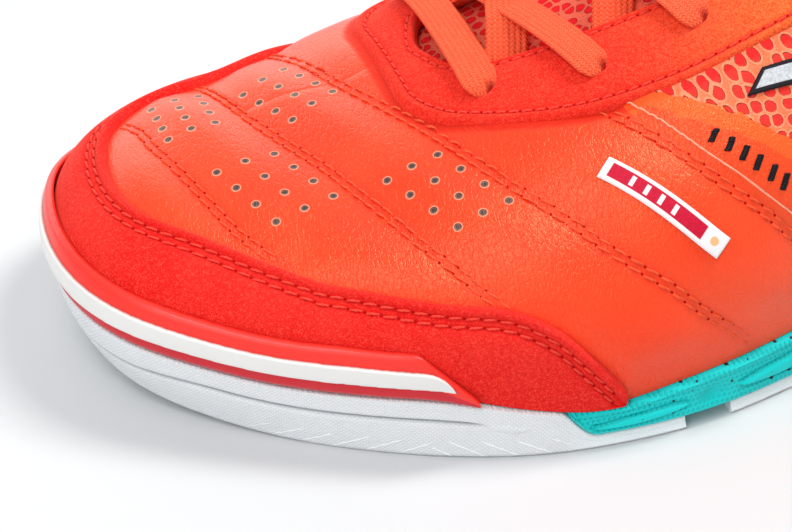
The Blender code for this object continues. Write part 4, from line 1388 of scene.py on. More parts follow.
def make_toe_cap(sizes, colours):
    """Suede toe cap: the last by foot and distance below the cap's edge, moved out by the rise.

    The edge is rolled, with two stitched furrows below it. Returns the rows for its stitches.
    """
    loop = shoe_loop(0.0007, 0.0007, 150, 0, end=TOE_CAP_END)
    high = cap_edge_shares(loop)
    near = np.array(CAP_STEPS)
    rest = 30
    share = edge_rows(loop, 0 * high, high, near, rest)
    points, normal, _ = last_frame(loop, share)
    distance = np.r_[near, near[-1] + 0.001 * np.arange(1, rest + 1)][None] + 0 * share
    rise = overlay_height(distance)
    shaded_furrow = bell(distance, CAP_ROWS[0], FURROW_WIDTH) + bell(distance, CAP_ROWS[1], FURROW_WIDTH)
    rise = rise - CAP_FURROW * shaded_furrow - 0.0002 * bell(distance, sum(CAP_ROWS) / 2, 0.0011)
    rise[:, 0] = -0.0004
    points = points + normal * rise[..., None]
    finish = suede_finish("red_suede", colours.suede, colours.suede, sizes)
    faces = grid_faces(*points.shape[:2], flip=True)
    # The furrows' mask carries their painted shade
    cap = new_piece("toe_cap_suede", points, faces, finish, {"painted_furrow_shade": shaded_furrow * 0.8})
    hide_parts("toe_cap")
    rows = []
    for d in CAP_ROWS:
        share = edge_rows(loop, 0 * high, high, [d], 1)[:, :1]
        points, normal, _ = last_frame(loop, share)
        keep = slice(4, len(points) - 4)
        rows.append(((points + normal * (overlay_height(d) - 0.00038))[keep, 0], normal[keep, 0]))
    return rows


def u_curve(half, front, end):
    """Plan curve from the rear on the lateral side, round the front, to the rear medially.

    half gives the half width by x. The corners are rounded by a moving average under a raised cosine.
    """
    x = np.linspace(end, front, 240)
    side = np.c_[x, half(x)]
    width = half(np.array([front]))[0]
    across = np.c_[np.full(30, front), np.linspace(-width, width, 32)[1:-1]]
    rounded = at_walk(np.vstack([side * (1, -1), across, side[::-1]]), U_POINTS)
    kernel = np.hanning(23)
    kernel /= kernel.sum()
    padded = np.vstack([2 * rounded[0] - rounded[11:0:-1], rounded, 2 * rounded[-1] - rounded[-2:-13:-1]])
    return np.stack([np.convolve(padded[:, k], kernel, "valid") for k in (0, 1)], 1)


def eyestay_net():
    """Outer and inner edge of the eyestay as matching plan curves."""
    outer = u_curve(lambda x: curve(EYESTAY, x) * BALL_WIDTH, EYESTAY_FRONT, EYESTAY_END)
    inner = u_curve(lambda x: np.maximum(curve(THROAT, x), 0.02) * BALL_WIDTH, THROAT_FRONT, EYESTAY_END)
    return outer, inner


def make_eyestay(sizes, colours):
    """Suede eyestay: a band between two plan curves laid on the last, moved out by the rise.

    Both edges are rolled and stitched. Returns the rows for its stitches.
    """
    outer, inner = eyestay_net()
    width = np.linalg.norm(outer - inner, axis=1)[:, None]
    near = np.array(STAY_STEPS)
    middle = np.linspace(0, 1, 14)[None, 1:-1]
    from_outer = np.hstack([near + 0 * width, near[-1] + (width - 2 * near[-1]) * middle, width - near[::-1]])
    from_outer = np.clip(from_outer, 0, width)
    part = from_outer / width
    plan = outer[:, None] * (1 - part[..., None]) + inner[:, None] * part[..., None]
    to_edge = np.minimum(from_outer, width - from_outer)
    rise = overlay_height(to_edge)
    shaded_furrow = bell(from_outer, STAY_OUTER_ROW, FURROW_WIDTH)
    shaded_furrow = shaded_furrow + bell(width - from_outer, STAY_INNER_ROW, FURROW_WIDTH)
    rise = rise - STAY_FURROW * shaded_furrow + 0.0003 * smooth(0.003, 0.006, to_edge)
    rise[:, 0] = -0.0004
    rise[:, -1] = -0.0020
    points, normal = on_last(plan[..., 0], plan[..., 1])
    points = points + normal * rise[..., None]
    finish = suede_finish("eyestay_suede", colours.eyestay, colours.eyestay_back, sizes)
    faces = grid_faces(*points.shape[:2], flip=True)
    # The furrows' mask carries their painted shade
    stay = new_piece("eyestay_suede_band", points, faces, finish, {"painted_furrow_shade": shaded_furrow * 0.8})
    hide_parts("eyestay")
    rows = []
    for base, toward, d in ((outer, inner, STAY_OUTER_ROW), (inner, outer, STAY_INNER_ROW)):
        line = base + (toward - base) * (d / width)
        points, normal = on_last(line[:, 0], line[:, 1])
        rows.append((points + normal * (OVERLAY_GAP + SUEDE - 0.00022), normal))
    return rows


def make_bumper(colours):
    """Rubber toe bumper and its pale stripe: bands between two heights, with quarter-round edges."""
    loop = shoe_loop(0.0008, 0.0008, 130, 0, end=BUMPER_END)
    taper = np.clip((BUMPER_END - loop.foot[:, 0]) / BUMPER_TAPER + 0.15, 0, 1)
    base = sole_edge(loop.foot[:, 0])
    level = OVERLAY_GAP + SUEDE + 2 * GAP + BUMPER_THICKNESS

    def at_height(part):
        """Share of each rib at a part of the bumper's height."""
        return share_where(loop, lambda p: p[..., 2] >= (base + BUMPER_HEIGHT * part)[:, None])

    def band(name, low, high, top, thick, round_share, count, finish, node):
        """Closed band between two shares of each rib, top above the last and thick through."""
        part = np.linspace(0, 1, count)
        edge = np.minimum(part, 1 - part) / round_share
        rise = top - thick + thick * np.sqrt(1 - (1 - np.clip(edge, 0, 1)) ** 2)
        share = low[:, None] + (high - low)[:, None] * part
        points = last_surface(loop, share, rise[None])
        inner = last_surface(loop, share[:, ::-1], (rise[None] * 0 + top - thick * 1.02))
        ring = np.concatenate([points, inner[:, 1:-1]], axis=1)
        # Mask of the painted shade on the bumper's outer face below the stripe
        under = np.zeros(ring.shape[:2])
        under[:, :count] = (part < STRIPE_LOW + 0.02) * (name == "toe_bumper_rubber")
        piece = new_piece(name, ring, grid_faces(*ring.shape[:2], wrap_rows=True), finish,
                          {"low": under})
        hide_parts(node)

    part_low, part_high = at_height(BUMPER_FOOT * taper), at_height(taper)
    band("toe_bumper_rubber", part_low, part_high, level, BUMPER_THICKNESS, 0.16, 34,
         rubber_finish("smooth_red_rubber", colours.bumper, 0.38, 0.05, 0.15), "toe_bumper")
    loop = shoe_loop(0.0005, 0.0005, 150, 0, end=STRIPE_END - STRIPE_SHORTER)
    base = sole_edge(loop.foot[:, 0])
    to_end = np.clip((STRIPE_END - STRIPE_SHORTER - loop.foot[:, 0]) / STRIPE_TAPER, 0, 1)
    narrow = np.sin(to_end * math.pi / 2) ** 0.7 * 0.95 + 0.05
    band("toe_stripe_rubber", at_height(STRIPE_LOW + 0 * narrow),
         at_height(STRIPE_LOW + (STRIPE_HIGH - STRIPE_LOW) * narrow),
         level + GAP + STRIPE_THICKNESS, GAP + STRIPE_THICKNESS, 0.14, 20,
         rubber_finish("stripe_pale_rubber", colours.stripe, 0.35, 0.03, 0.1), "toe_stripe")


def cup_drop(x):
    """How far the forefoot cup has come down to pad thickness: 0 in front, 1 behind."""
    return 0.5 - 0.5 * np.cos(math.pi * np.clip((x - MIDSOLE_FRONT) / CUP_SLOPE, 0, 1))


def rubber_top(x, share):
    """Top of the pale rubber: up to the upper in front, pad thickness under the midsole."""
    return (bed(x, share) - GAP) * (1 - cup_drop(x)) + POD_THICKNESS * cup_drop(x)


def midsole_under(x, share):
    """Underside of the midsole: on the rubber, and raised at the arch."""
    at = np.clip((x - BALL_POD_END) / (HEEL_POD_START - BALL_POD_END), 0, 1)
    return rubber_top(x, share) + GAP + ARCH_RISE * np.sin(math.pi * at) ** 2


def flare(x, t):
    """Move of the sole's side out of the outline at a share of its height."""
    tuck = np.clip(1 - x / TOE_UNDERCUT_LENGTH, 0, None) ** 2
    bottom = SOLE_FLARE - (SOLE_FLARE + TOE_UNDERCUT) * tuck
    return bottom * (1 - t) ** 1.5 + EDGE_LEDGE * (1 - (1 - t) ** 1.5)


def sole_body(name, loop, low, high, detail, side_rows, finish, grooves=None, round_top=0.0006):
    """Closed sole piece: underside from the spine out, a rounded side with detail, and its top.

    low and high give the heights by x and the share to the spine. detail gives the side's
    move out and the mask of its painted furrow shade by x and the share of the height. grooves gives the
    underside's cut by x and y.
    """
    x = loop.foot[:, 0]
    under_shares = np.linspace(1, 0, 22)
    columns, marks = [], {"side": [], "under": [], "shaded_furrow": [], "plain": []}

    def add(plan, height, under, shaded_furrow=0.0, plain=0.0):
        """Adds one point to each rib, with its marks."""
        columns.append(np.c_[plan, height])
        marks["side"].append(np.c_[loop.walk, height, 0 * height])
        for key, value in (("under", under), ("shaded_furrow", shaded_furrow), ("plain", plain)):
            marks[key].append(np.zeros(len(x)) + value)

    edge = loop.foot + loop.out * (flare(x, 0) - EDGE_ROUND)[:, None]
    for share in under_shares:
        plan = edge + (loop.spine - edge) * share
        height = low(plan[:, 0], share)
        if grooves is not None:
            height = height + grooves(plan) * smooth(0.0, 0.03, share)
        add(plan, height, 1.0)
    for turn in np.linspace(0, 1, 5)[1:-1]:
        a = turn * math.pi / 2
        move = flare(x, 0) - EDGE_ROUND + EDGE_ROUND * math.sin(a)
        plan = loop.foot + loop.out * move[:, None]
        add(plan, low(x, 0) + EDGE_ROUND * 0.9 * (1 - math.cos(a)), 0.5)
    for t in np.linspace(0, 1, side_rows):
        height = low(x, 0) + EDGE_ROUND * 0.9 + t * (high(x, 0) - round_top - low(x, 0) - EDGE_ROUND * 0.9)
        move, shaded_furrow, plain = detail(x, t)
        plan = loop.foot + loop.out * (flare(x, t) + move)[:, None]
        add(plan, height, 0.0, shaded_furrow, plain)
    for turn in np.linspace(0, 1, 4)[1:]:
        a = turn * math.pi / 2
        plan = loop.foot + loop.out * (flare(x, 1) - round_top * (1 - math.cos(a)))[:, None]
        add(plan, high(x, 0) - round_top * (1 - math.sin(a)), 0.0)
    edge = loop.foot + loop.out * (flare(x, 1) - round_top)[:, None]
    for share in (0.1, 0.4, 0.7, 1.0):
        plan = edge + (loop.spine - edge) * share
        add(plan, high(plan[:, 0], share), 0.0)
    points = np.stack(columns, 1)
    marks = {key: np.stack(rows, 1) for key, rows in marks.items()}
    faces = grid_faces(*points.shape[:2], wrap=loop.closed, wrap_rows=True, apart=loop.apart)
    piece = new_piece(name, points, faces, finish, marks)
    close_ends(piece)
    return piece


def close_ends(piece):
    """Merges the points of a closed body along its spine and fills its flat ends."""
    bm = bmesh.new()
    bm.from_mesh(piece.data)
    bmesh.ops.remove_doubles(bm, verts=bm.verts, dist=1e-5)
    rims = [e for e in bm.edges if e.is_boundary]
    if rims:
        bmesh.ops.holes_fill(bm, edges=rims, sides=0)
    bmesh.ops.recalc_face_normals(bm, faces=bm.faces)
    bm.to_mesh(piece.data)
    bm.free()
    piece.data.set_sharp_from_angle(angle=math.radians(42))


def tread(start, end):
    """Cross grooves of a pad as a function of its plan points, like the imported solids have."""
    count = int((end - start) / TREAD_PITCH) - 1
    first = (start + end - (count - 1) * TREAD_PITCH) / 2

    def cut(plan):
        """Depth of the grooves at plan points, by the slanted distance from the nearest."""
        x = plan[:, 0] + (plan[:, 1] - CENTRE[1]) * math.tan(TREAD_SLANT)
        near = np.min([abs(x - first - i * TREAD_PITCH) for i in range(count)], axis=0)
        return TREAD_DEPTH * smooth(TREAD_WIDTH * 0.62, TREAD_WIDTH * 0.38, near)

    return cut


def make_sole(colours):
    """Teal midsole and the three pale rubber pads, with their side details."""
    white = white_rubber_finish(colours)
    foam = foam_finish(colours)

    def cup_detail(x, t):
        """Incised line at two thirds of the side's height, ending in a small raised lens."""
        fade = smooth(0.0665, 0.062, x)
        line = bell(t, 0.67 - 0.2 * smooth(0.02, 0.0, x), 0.03) * fade
        u = (x - 0.0695) / 0.0040
        lens = smooth(1.0, 0.6, np.hypot(u, (t - 0.64) / 0.075))
        return 0.0004 * lens - 0.0006 * line + 0.00012 * smooth(0.62, 0.58, t), line, 0.0

    def plain_side(x, _):
        """No detail."""
        return 0 * x, 0.0, 0.0

    def foam_detail(x, t):
        """Long moulded lenses with sunk rims on the side, a dimple at each flex line, a lip on top."""
        rise, shaded_furrow, plain = 0 * x, 0 * x, 0 * x
        for start, end, low, high in LENSES:
            u = np.clip((x - start) / (end - start), 0, 1)
            half = (high - low) / 2 * np.sin(math.pi * u) ** 0.45
            middle = (low + high) / 2 + 0.10 * (u - 0.5)
            inside = half - abs(t - middle)
            within = (u > 0) * (u < 1)
            lens = smooth(-0.04, 0.05, inside) * within
            rim = bell(inside, -0.02, 0.055) * within
            rise = rise + 0.0007 * lens - 0.0004 * rim
            shaded_furrow = np.maximum(shaded_furrow, rim)
            plain = np.maximum(plain, lens)
        for middle in FLEX_DIMPLES:
            dip = bell(x, middle, 0.0026) * bell(t, 0.36, 0.24)
            rise = rise - 0.0009 * dip
            shaded_furrow = np.maximum(shaded_furrow, 0.6 * dip)
            plain = np.maximum(plain, dip)
        return rise + 0.0004 * smooth(0.88, 0.96, t), shaded_furrow, plain

    loop = shoe_loop(0.0008, 0.0016, 0, 90, start=MIDSOLE_FRONT + MIDSOLE_BITE * 0.6)
    midsole = sole_body("midsole_foam_body", loop, midsole_under, lambda x, s: bed(x, s) - GAP * 0.5,
                        foam_detail, 30, foam)
    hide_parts("midsole")
    loop = shoe_loop(0.0009, 0.0009, 150, 0, end=FOREFOOT_POD_END)
    cup = sole_body("outsole_forefoot_rubber", loop, lambda x, s: spring(x), rubber_top, cup_detail, 40,
                    white, tread(FOREFOOT_POD_END - 4 * TREAD_PITCH, FOREFOOT_POD_END))
    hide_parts("outsole_forefoot")
    loop = shoe_loop(0.001, 0.001, 0, 0, start=BALL_POD_START, end=BALL_POD_END)
    ball = sole_body("outsole_ball_rubber", loop, lambda x, s: spring(x), rubber_top, plain_side, 8,
                     white, tread(BALL_POD_START, BALL_POD_END))
    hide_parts("outsole_ball")
    loop = shoe_loop(0.001, 0.001, 0, 110, start=HEEL_POD_START)
    heel = sole_body("outsole_heel_rubber", loop, lambda x, s: spring(x), rubber_top, plain_side, 8,
                     white, tread(HEEL_POD_START, SHOE_LENGTH - HEEL_SPINE / 2))
    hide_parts("outsole_heel")


def make_tongue(colours):
    """Padded mesh tongue: two sheets under the throat, apart by 1 less the place's fourth power."""
    x = np.linspace(THROAT_FRONT - 0.004, TONGUE_END, 130)
    part = np.linspace(-1, 1, 60)
    half = curve(TONGUE, x) * BALL_WIDTH
    half = half * (0.62 + 0.38 * np.sqrt(np.clip((TONGUE_END - x) / 0.012, 0, 1)))
    plan_x = x[:, None] + 0 * part
    aside = half[:, None] * part
    top = -UPPER_WALL - 3 * GAP
    swell = (1 - part[None] ** 4) * np.minimum(1, (TONGUE_END - x)[:, None] / 0.004) ** 0.5
    outer, normal = on_last(plan_x, aside)
    front = outer + normal * (top - TONGUE_THICKNESS / 2 + TONGUE_THICKNESS / 2 * swell)[..., None]
    back = outer + normal * (top - TONGUE_THICKNESS / 2 - TONGUE_THICKNESS / 2 * swell)[..., None]
    points = np.concatenate([front, back[:, ::-1]], axis=1)
    faces = grid_faces(*points.shape[:2], wrap_rows=True)
    finish = mesh_cloth_finish("tongue_mesh_cloth", colours.tongue_web, colours.web_deep, TONGUE_CELL)
    tongue = new_piece("tongue_pad", points, faces, finish)
    close_ends(tongue)
    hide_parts("tongue")


def make_insole(colours):
    """Cloth-covered footbed: its section carried round the outline, slightly dished."""
    loop = shoe_loop(0.003, 0.003, 40, 36)
    x = loop.foot[:, 0]
    tuck = TOE_TUCK * smooth(TOE_CAP_END, BUMPER_END, x)[:, None]
    back = -(VAMP_INSET + tuck + UPPER_WALL + GAP)
    columns = []
    for inward, share, lift in INSOLE_PROFILE:
        edge = loop.foot + loop.out * (back - inward)
        plan = edge + (loop.spine - edge) * share
        columns.append(np.c_[plan, bed(plan[:, 0], share) + lift])
    points = np.stack(columns, 1)
    faces = grid_faces(*points.shape[:2], wrap=True, wrap_rows=True)
    cloth = cloth_finish("footbed_cloth", colours.footbed, 0.0011)
    insole = new_piece("insole_footbed", points, faces, cloth)
    close_ends(insole)
    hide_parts("insole")


def eyelet(i, side):
    """Station and sideways distance of an eyelet from the ridge."""
    x = FIRST_EYELET + i * EYELET_PITCH
    return x, side * (float(curve(THROAT, x)) * BALL_WIDTH + EYELET_SETBACKS[i])


def throat_edge(i, side):
    """Place inside the throat where a lace comes out from under the eyestay."""
    x = FIRST_EYELET + i * EYELET_PITCH + LACE_BEHIND
    return x, side * (float(curve(THROAT, x)) * BALL_WIDTH - LACE_INSIDE)


def round_end(to_end):
    """Share of the lace's width at a distance from its end: a half circle, then 1."""
    return np.sqrt(np.clip(1 - np.clip(1 - to_end / (LACE_WIDTH * LACE_ROUND), 0, 1) ** 2, 0.02, 1))


def lace_strip(start, end, sunk_start, hop):
    """Rings of a flat lace from one place on the last to another, with weave places and end shade.

    Its section is a superellipse with shallow lengthwise cords on its faces. It narrows to a
    round end that dives into an eyelet, or starts sunk inside the throat. A hop lifts it over
    the other lace of its crossing.
    """
    t = np.linspace(0, 1, LACE_RINGS)
    x = start[0] + (end[0] - start[0]) * t
    aside = start[1] + (end[1] - start[1]) * t
    rise = smooth(0, 1, t / LACE_CLIMB)
    level = LACE_LEVEL + 0.0001 - sunk_start * LACE_SINK * (1 - rise)
    over = np.clip(1 - ((t - LACE_CROSS) / LACE_CLIMB) ** 2, 0, None)
    level = level + hop * LACE_JOIN * LACE_THICKNESS * over
    length = np.linalg.norm(on_last(x[-1:], aside[-1:])[0] - on_last(x[:1], aside[:1])[0])
    to_end = (1 - t) * length
    dive = LACE_DIVE * np.exp(-to_end / LACE_DIVE_RUN)
    taper = round_end(to_end)
    if not sunk_start:
        to_start = t * length
        dive = dive + LACE_DIVE * np.exp(-to_start / LACE_DIVE_RUN)
        taper = taper * round_end(to_start)
    middle, normal = on_last(x, aside)
    middle = middle + normal * (level - dive)[:, None]
    along = unit(np.gradient(middle, axis=0))
    across = unit(np.cross(normal, along))
    up = np.cross(along, across)
    turn = np.linspace(0, 2 * math.pi, LACE_SIDES, endpoint=False)
    flat = np.sign(np.cos(turn)) * abs(np.cos(turn)) ** 0.75
    thick = np.sign(np.sin(turn)) * abs(np.sin(turn)) ** 0.7
    cords = 1 + 0.13 * np.cos(flat * math.pi * LACE_CORDS) * (1 - flat ** 6)
    bulge = LACE_THICKNESS / 2 * (0.72 + 0.28 * (1 - flat ** 2))
    ring = (middle[:, None] + across[:, None] * (LACE_WIDTH / 2 * flat)[None, :, None] * taper[:, None, None]
            + up[:, None] * (thick * cords * bulge)[None, :, None] * (0.45 + 0.55 * taper[:, None, None]))
    weave = np.stack(np.broadcast_arrays((t * length)[:, None], flat * LACE_WIDTH / 2, 0.0), -1)
    # Mask of the painted shade at the lace's end
    notch = smooth(0.42, 0.10, abs(flat + LACE_NOTCH * math.copysign(1, end[1])))
    tip = smooth(0.0036, 0.0008, to_end if sunk_start else np.minimum(to_end, t * length))
    return ring, weave, tip[:, None] * notch[None]


def lace_piece(name, strips, finish, node):
    """One object from one or two lace strips, with their ends closed."""
    points, weaves, tucks, faces, count = [], [], [], [], 0
    for ring, weave, tuck in strips:
        n, m = ring.shape[:2]
        body = grid_faces(n, m, wrap_rows=True) + count
        i = np.arange(m // 2 - 1)
        ends = np.stack([i, m - 1 - i, m - 2 - i, i + 1], 1)
        faces += [body, ends[:, ::-1] + count, ends + count + (n - 1) * m]
        points.append(ring.reshape(-1, 3))
        weaves.append(weave.reshape(-1, 3))
        tucks.append(tuck.ravel())
        count += n * m
    piece = new_piece(name, np.vstack(points), np.vstack(faces)[:, ::-1], finish,
                      {"weave": np.vstack(weaves), "tuck": np.concatenate(tucks)})
    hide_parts(node)


def make_laces(colours):
    """Straight front bar, a crossing for each further pair of eyelets, and the shaded eyelets."""
    braid = braid_finish(colours)
    lace_piece("lace_front_bar", [lace_strip(eyelet(0, -1), eyelet(0, 1), 0, 0)], braid, "lace_bar")
    for i in range(EYELET_PAIRS - 1):
        lower = lace_strip(throat_edge(i, 1), eyelet(i + 1, -1), 1, 0)
        upper = lace_strip(throat_edge(i, -1), eyelet(i + 1, 1), 1, 1)
        lace_piece(f"lace_crossing_{i + 1}", [lower, upper], braid, f"lace_cross_{i + 1}")
    # Dark discs of painted shade under the lace ends, for the eyelets' holes
    turn = np.linspace(0, 2 * math.pi, 24, endpoint=False)
    rings = []
    for i in range(EYELET_PAIRS):
        for side in (-1, 1):
            x, aside = eyelet(i, side)
            for radius, lift in ((0.0011, 0.00002), (0.0009, 0.0001), (0.0006, 0.0001), (0.0002, -0.0002)):
                p, normal = on_last(x + 0.0003 + radius * np.cos(turn),
                                    aside - side * 0.0016 + radius * np.sin(turn))
                rings.append(p + normal * (OVERLAY_GAP + SUEDE + 0.0003 + lift))
    faces = repeated(grid_faces(4, 24, wrap_rows=True), EYELET_PAIRS * 2, 4 * 24)
    dark = shadow_finish("eyelet_shadow", 0.0004, shade(colours.suede, 0.25), shade(colours.suede, 0.5))
    new_piece("eyelet_shade_discs", np.array(rings), faces, dark)


def fitted(values, u, v):
    """Values over a patch smoothed by a polynomial: fifth power of u, second power of v."""
    terms = np.stack([u ** i * v ** j for i in range(6) for j in range(3)], -1).reshape(u.size, -1)
    flat = values.reshape(u.size, -1)
    return (terms @ np.linalg.lstsq(terms, flat, rcond=None)[0]).reshape(values.shape)


def plate(name, corners, lift, n, m, finish, puff, base):
    """Thin patch on the leather between four corners, with a rounded rim and its print place."""
    u, v = np.linspace(0, 1, n), np.linspace(0, 1, m)
    a, b, c, d = np.array(corners) / 1000
    u2, v2 = np.meshgrid(u, v, indexing="ij")
    flat = (a * (1 - v2[..., None]) + c * v2[..., None]) * (1 - u2[..., None])
    flat = flat + (b * (1 - v2[..., None]) + d * v2[..., None]) * u2[..., None]
    points, normal = snap(flat)
    edge = np.minimum(np.minimum(u2, 1 - u2) * n, np.minimum(v2, 1 - v2) * m)
    points = fitted(points + normal * (vamp_relief(points, puff) + base)[..., None], u2, v2)
    points = points + fitted(normal, u2, v2) * (lift * smooth(0, 1, edge))[..., None]
    return new_piece(name, points, grid_faces(n, m), finish,
                     {"print": np.stack([u2, v2, 0 * u2], -1)})


def make_badges(sizes):
    """Side label, cloth patch and embroidered bars, all plain and generic."""
    plate("side_label", LABEL, 0.0003, 90, 24, label_finish(), sizes.puff, 0.00035)
    plate("side_patch", PATCH, 0.0005, 90, 30, patch_finish(), sizes.puff, 0.0004)
    a, b, c, d = np.array(BARS) / 1000
    rows = []
    for start in BAR_STARTS:
        u = start + np.linspace(0, BAR_SHARE, 12)
        for v in np.linspace(0.05, 0.95, 9):
            line = (a * (1 - v) + c * v) * (1 - u[:, None]) + (b * (1 - v) + d * v) * u[:, None]
            points, normal = snap(line)
            level = vamp_relief(points, sizes.puff)[:, None] + 0.00045
            rows.append((points + normal * level, normal))
    finish = thread_finish("dark_embroidery_thread", (0.012, 0.012, 0.016))
    stitch_row("embroidered_bars", rows, BAR_STITCH, finish, slant=0.5, fill=1.1)


def make_stitching(sizes, colours, cap_rows, stay_rows):
    """All sewn rows with their needle holes, and the light edge of the quarter as a thin cord."""
    red = thread_finish("red_thread", colours.thread)
    orange = thread_finish("orange_thread", colours.thread_light)
    dark = shadow_finish("needle_hole", 0.0003, (0.32, 0.003, 0.003), (0.48, 0.006, 0.005))
    seams = []
    for line in SEAM_LINES.values():
        _, normal = snap(line)
        for row in twin_rows(line, ROW_APART, normal):
            points, normal_row = snap(row)
            level = vamp_relief(points, sizes.puff)[:, None] + 0.00008
            seams.append((points + normal_row * level, normal_row))
    _, normal = snap(QUARTER_LINE)
    pitch = sizes.stitch_pitch
    stitch_row("vamp_stitches", seams, pitch, orange)
    needle_holes("vamp_needle_holes", seams, pitch, dark)
    stitch_row("toe_cap_stitches", cap_rows, pitch * CAP_PITCH, red)
    needle_holes("toe_cap_needle_holes", cap_rows, pitch * CAP_PITCH, dark, lift=0.00012)
    stitch_row("eyestay_stitches", stay_rows, pitch * STAY_PITCH, red)
    needle_holes("eyestay_needle_holes", stay_rows, pitch * STAY_PITCH, dark, lift=0.00012)
    edge = QUARTER_LINE + normal * (vamp_relief(QUARTER_LINE, sizes.puff)[:, None] + 0.00025)
    new_tube("quarter_light_edge", edge, 0.0002, thread_finish("pale_edge", colours.rim))


def new_tube(name, line, radius, finish, sides=8):
    """Round cord along a curve."""
    along = unit(np.gradient(line, axis=0))
    side = unit(np.cross(along, (0, 0, 1.0)))
    up = np.cross(side, along)
    turn = np.arange(sides) * 2 * math.pi / sides
    points = (line[:, None] + side[:, None] * (radius * np.cos(turn))[None, :, None]
              + up[:, None] * (radius * np.sin(turn))[None, :, None])
    return new_piece(name, points, grid_faces(len(line), sides, wrap_rows=True), finish)


def make_stage(colours):
    """Pale floor, soft lights and the camera at the photograph's angle."""
    mesh = bpy.data.meshes.new("floor")
    corners = [(-FLOOR_REACH, -FLOOR_REACH, 0), (FLOOR_REACH, -FLOOR_REACH, 0), (FLOOR_REACH, FLOOR_REACH, 0),
               (-FLOOR_REACH, FLOOR_REACH, 0)]
    mesh.from_pydata(corners, [], [(0, 1, 2, 3)])
    f = Finish("studio_floor", 0.7)
    cloud = f.noise(0.5, 2.0)
    mesh.materials.append(f.done(f.mix(cloud, shade(colours.floor, 0.995), colours.floor)))
    floor = bpy.data.objects.new("floor", mesh)
    bpy.context.scene.collection.objects.link(floor)
    for name, place, aim, size, energy, tint in LIGHTS:
        light = bpy.data.lights.new(name, "AREA")
        light.shape = "RECTANGLE"
        light.size, light.size_y = size
        light.energy = energy
        light.color = tint
        lamp = bpy.data.objects.new(name, light)
        lamp.matrix_world = Matrix.Translation(place) @ look_at(np.array(aim) - np.array(place))
        bpy.context.scene.collection.objects.link(lamp)
    world = bpy.context.scene.world or bpy.data.worlds.new("studio")
    bpy.context.scene.world = world
    world.use_nodes = True
    sky = world.node_tree.nodes["Background"]
    sky.inputs[0].default_value = (*WORLD_TINT, 1)
    sky.inputs[1].default_value = WORLD_LIGHT
    bpy.context.scene.view_settings.view_transform = "Standard"
    bpy.context.scene.view_settings.look = "None"
    make_camera()


def look_at(direction):
    """Turn that points an object's -Z along a direction."""
    return Vector(direction).to_track_quat("-Z", "Y").to_matrix().to_4x4()


def make_camera():
    """Camera from its azimuth, elevation, roll and distance round the target."""
    az, el, roll = (math.radians(v) for v in (CAMERA_AZIMUTH, CAMERA_ELEVATION, CAMERA_ROLL))
    back = np.array([math.sin(az) * math.cos(el), -math.cos(az) * math.cos(el), math.sin(el)])
    right = np.array([math.cos(az), math.sin(az), 0.0])
    up = np.cross(back, right)
    turned_right = right * math.cos(roll) + up * math.sin(roll)
    turned_up = -right * math.sin(roll) + up * math.cos(roll)
    place = np.array(CAMERA_TARGET) - FRAME_ORIGIN + back * CAMERA_DISTANCE
    data = bpy.data.cameras.new("photo_camera")
    data.sensor_fit = "HORIZONTAL"
    data.sensor_width = 36.0
    data.lens = CAMERA_LENS
    data.clip_start = 0.01
    camera = bpy.data.objects.new("photo_camera", data)
    matrix = np.eye(4)
    matrix[:3, :3] = np.stack([turned_right, turned_up, back], 1)
    matrix[:3, 3] = place
    camera.matrix_world = Matrix(matrix.tolist())
    bpy.context.scene.collection.objects.link(camera)
    bpy.context.scene.camera = camera


def length_property(name, description, default):
    """A length that a user may change."""
    return FloatProperty(name=name, description=description, default=default, unit="LENGTH", precision=5)


def colour_property(name, description, default):
    """A colour that a user may change."""
    return FloatVectorProperty(name=name, description=description, default=default, subtype="COLOR",
                               size=3, min=0.0, max=1.0)


class ShoeSizes(bpy.types.PropertyGroup):
    """Sizes of the finish."""
    puff: length_property("Panel puff", "How far the vamp's panels stand out between seams", 0.0013)
    hole: length_property("Punched hole", "Diameter of the vamp's punched holes", 0.0014)
    nap: length_property("Suede nap", "Size of the clumps in the suede's nap", 0.00027)
    stitch_pitch: length_property("Stitch pitch", "Length of one stitch", 0.0034)


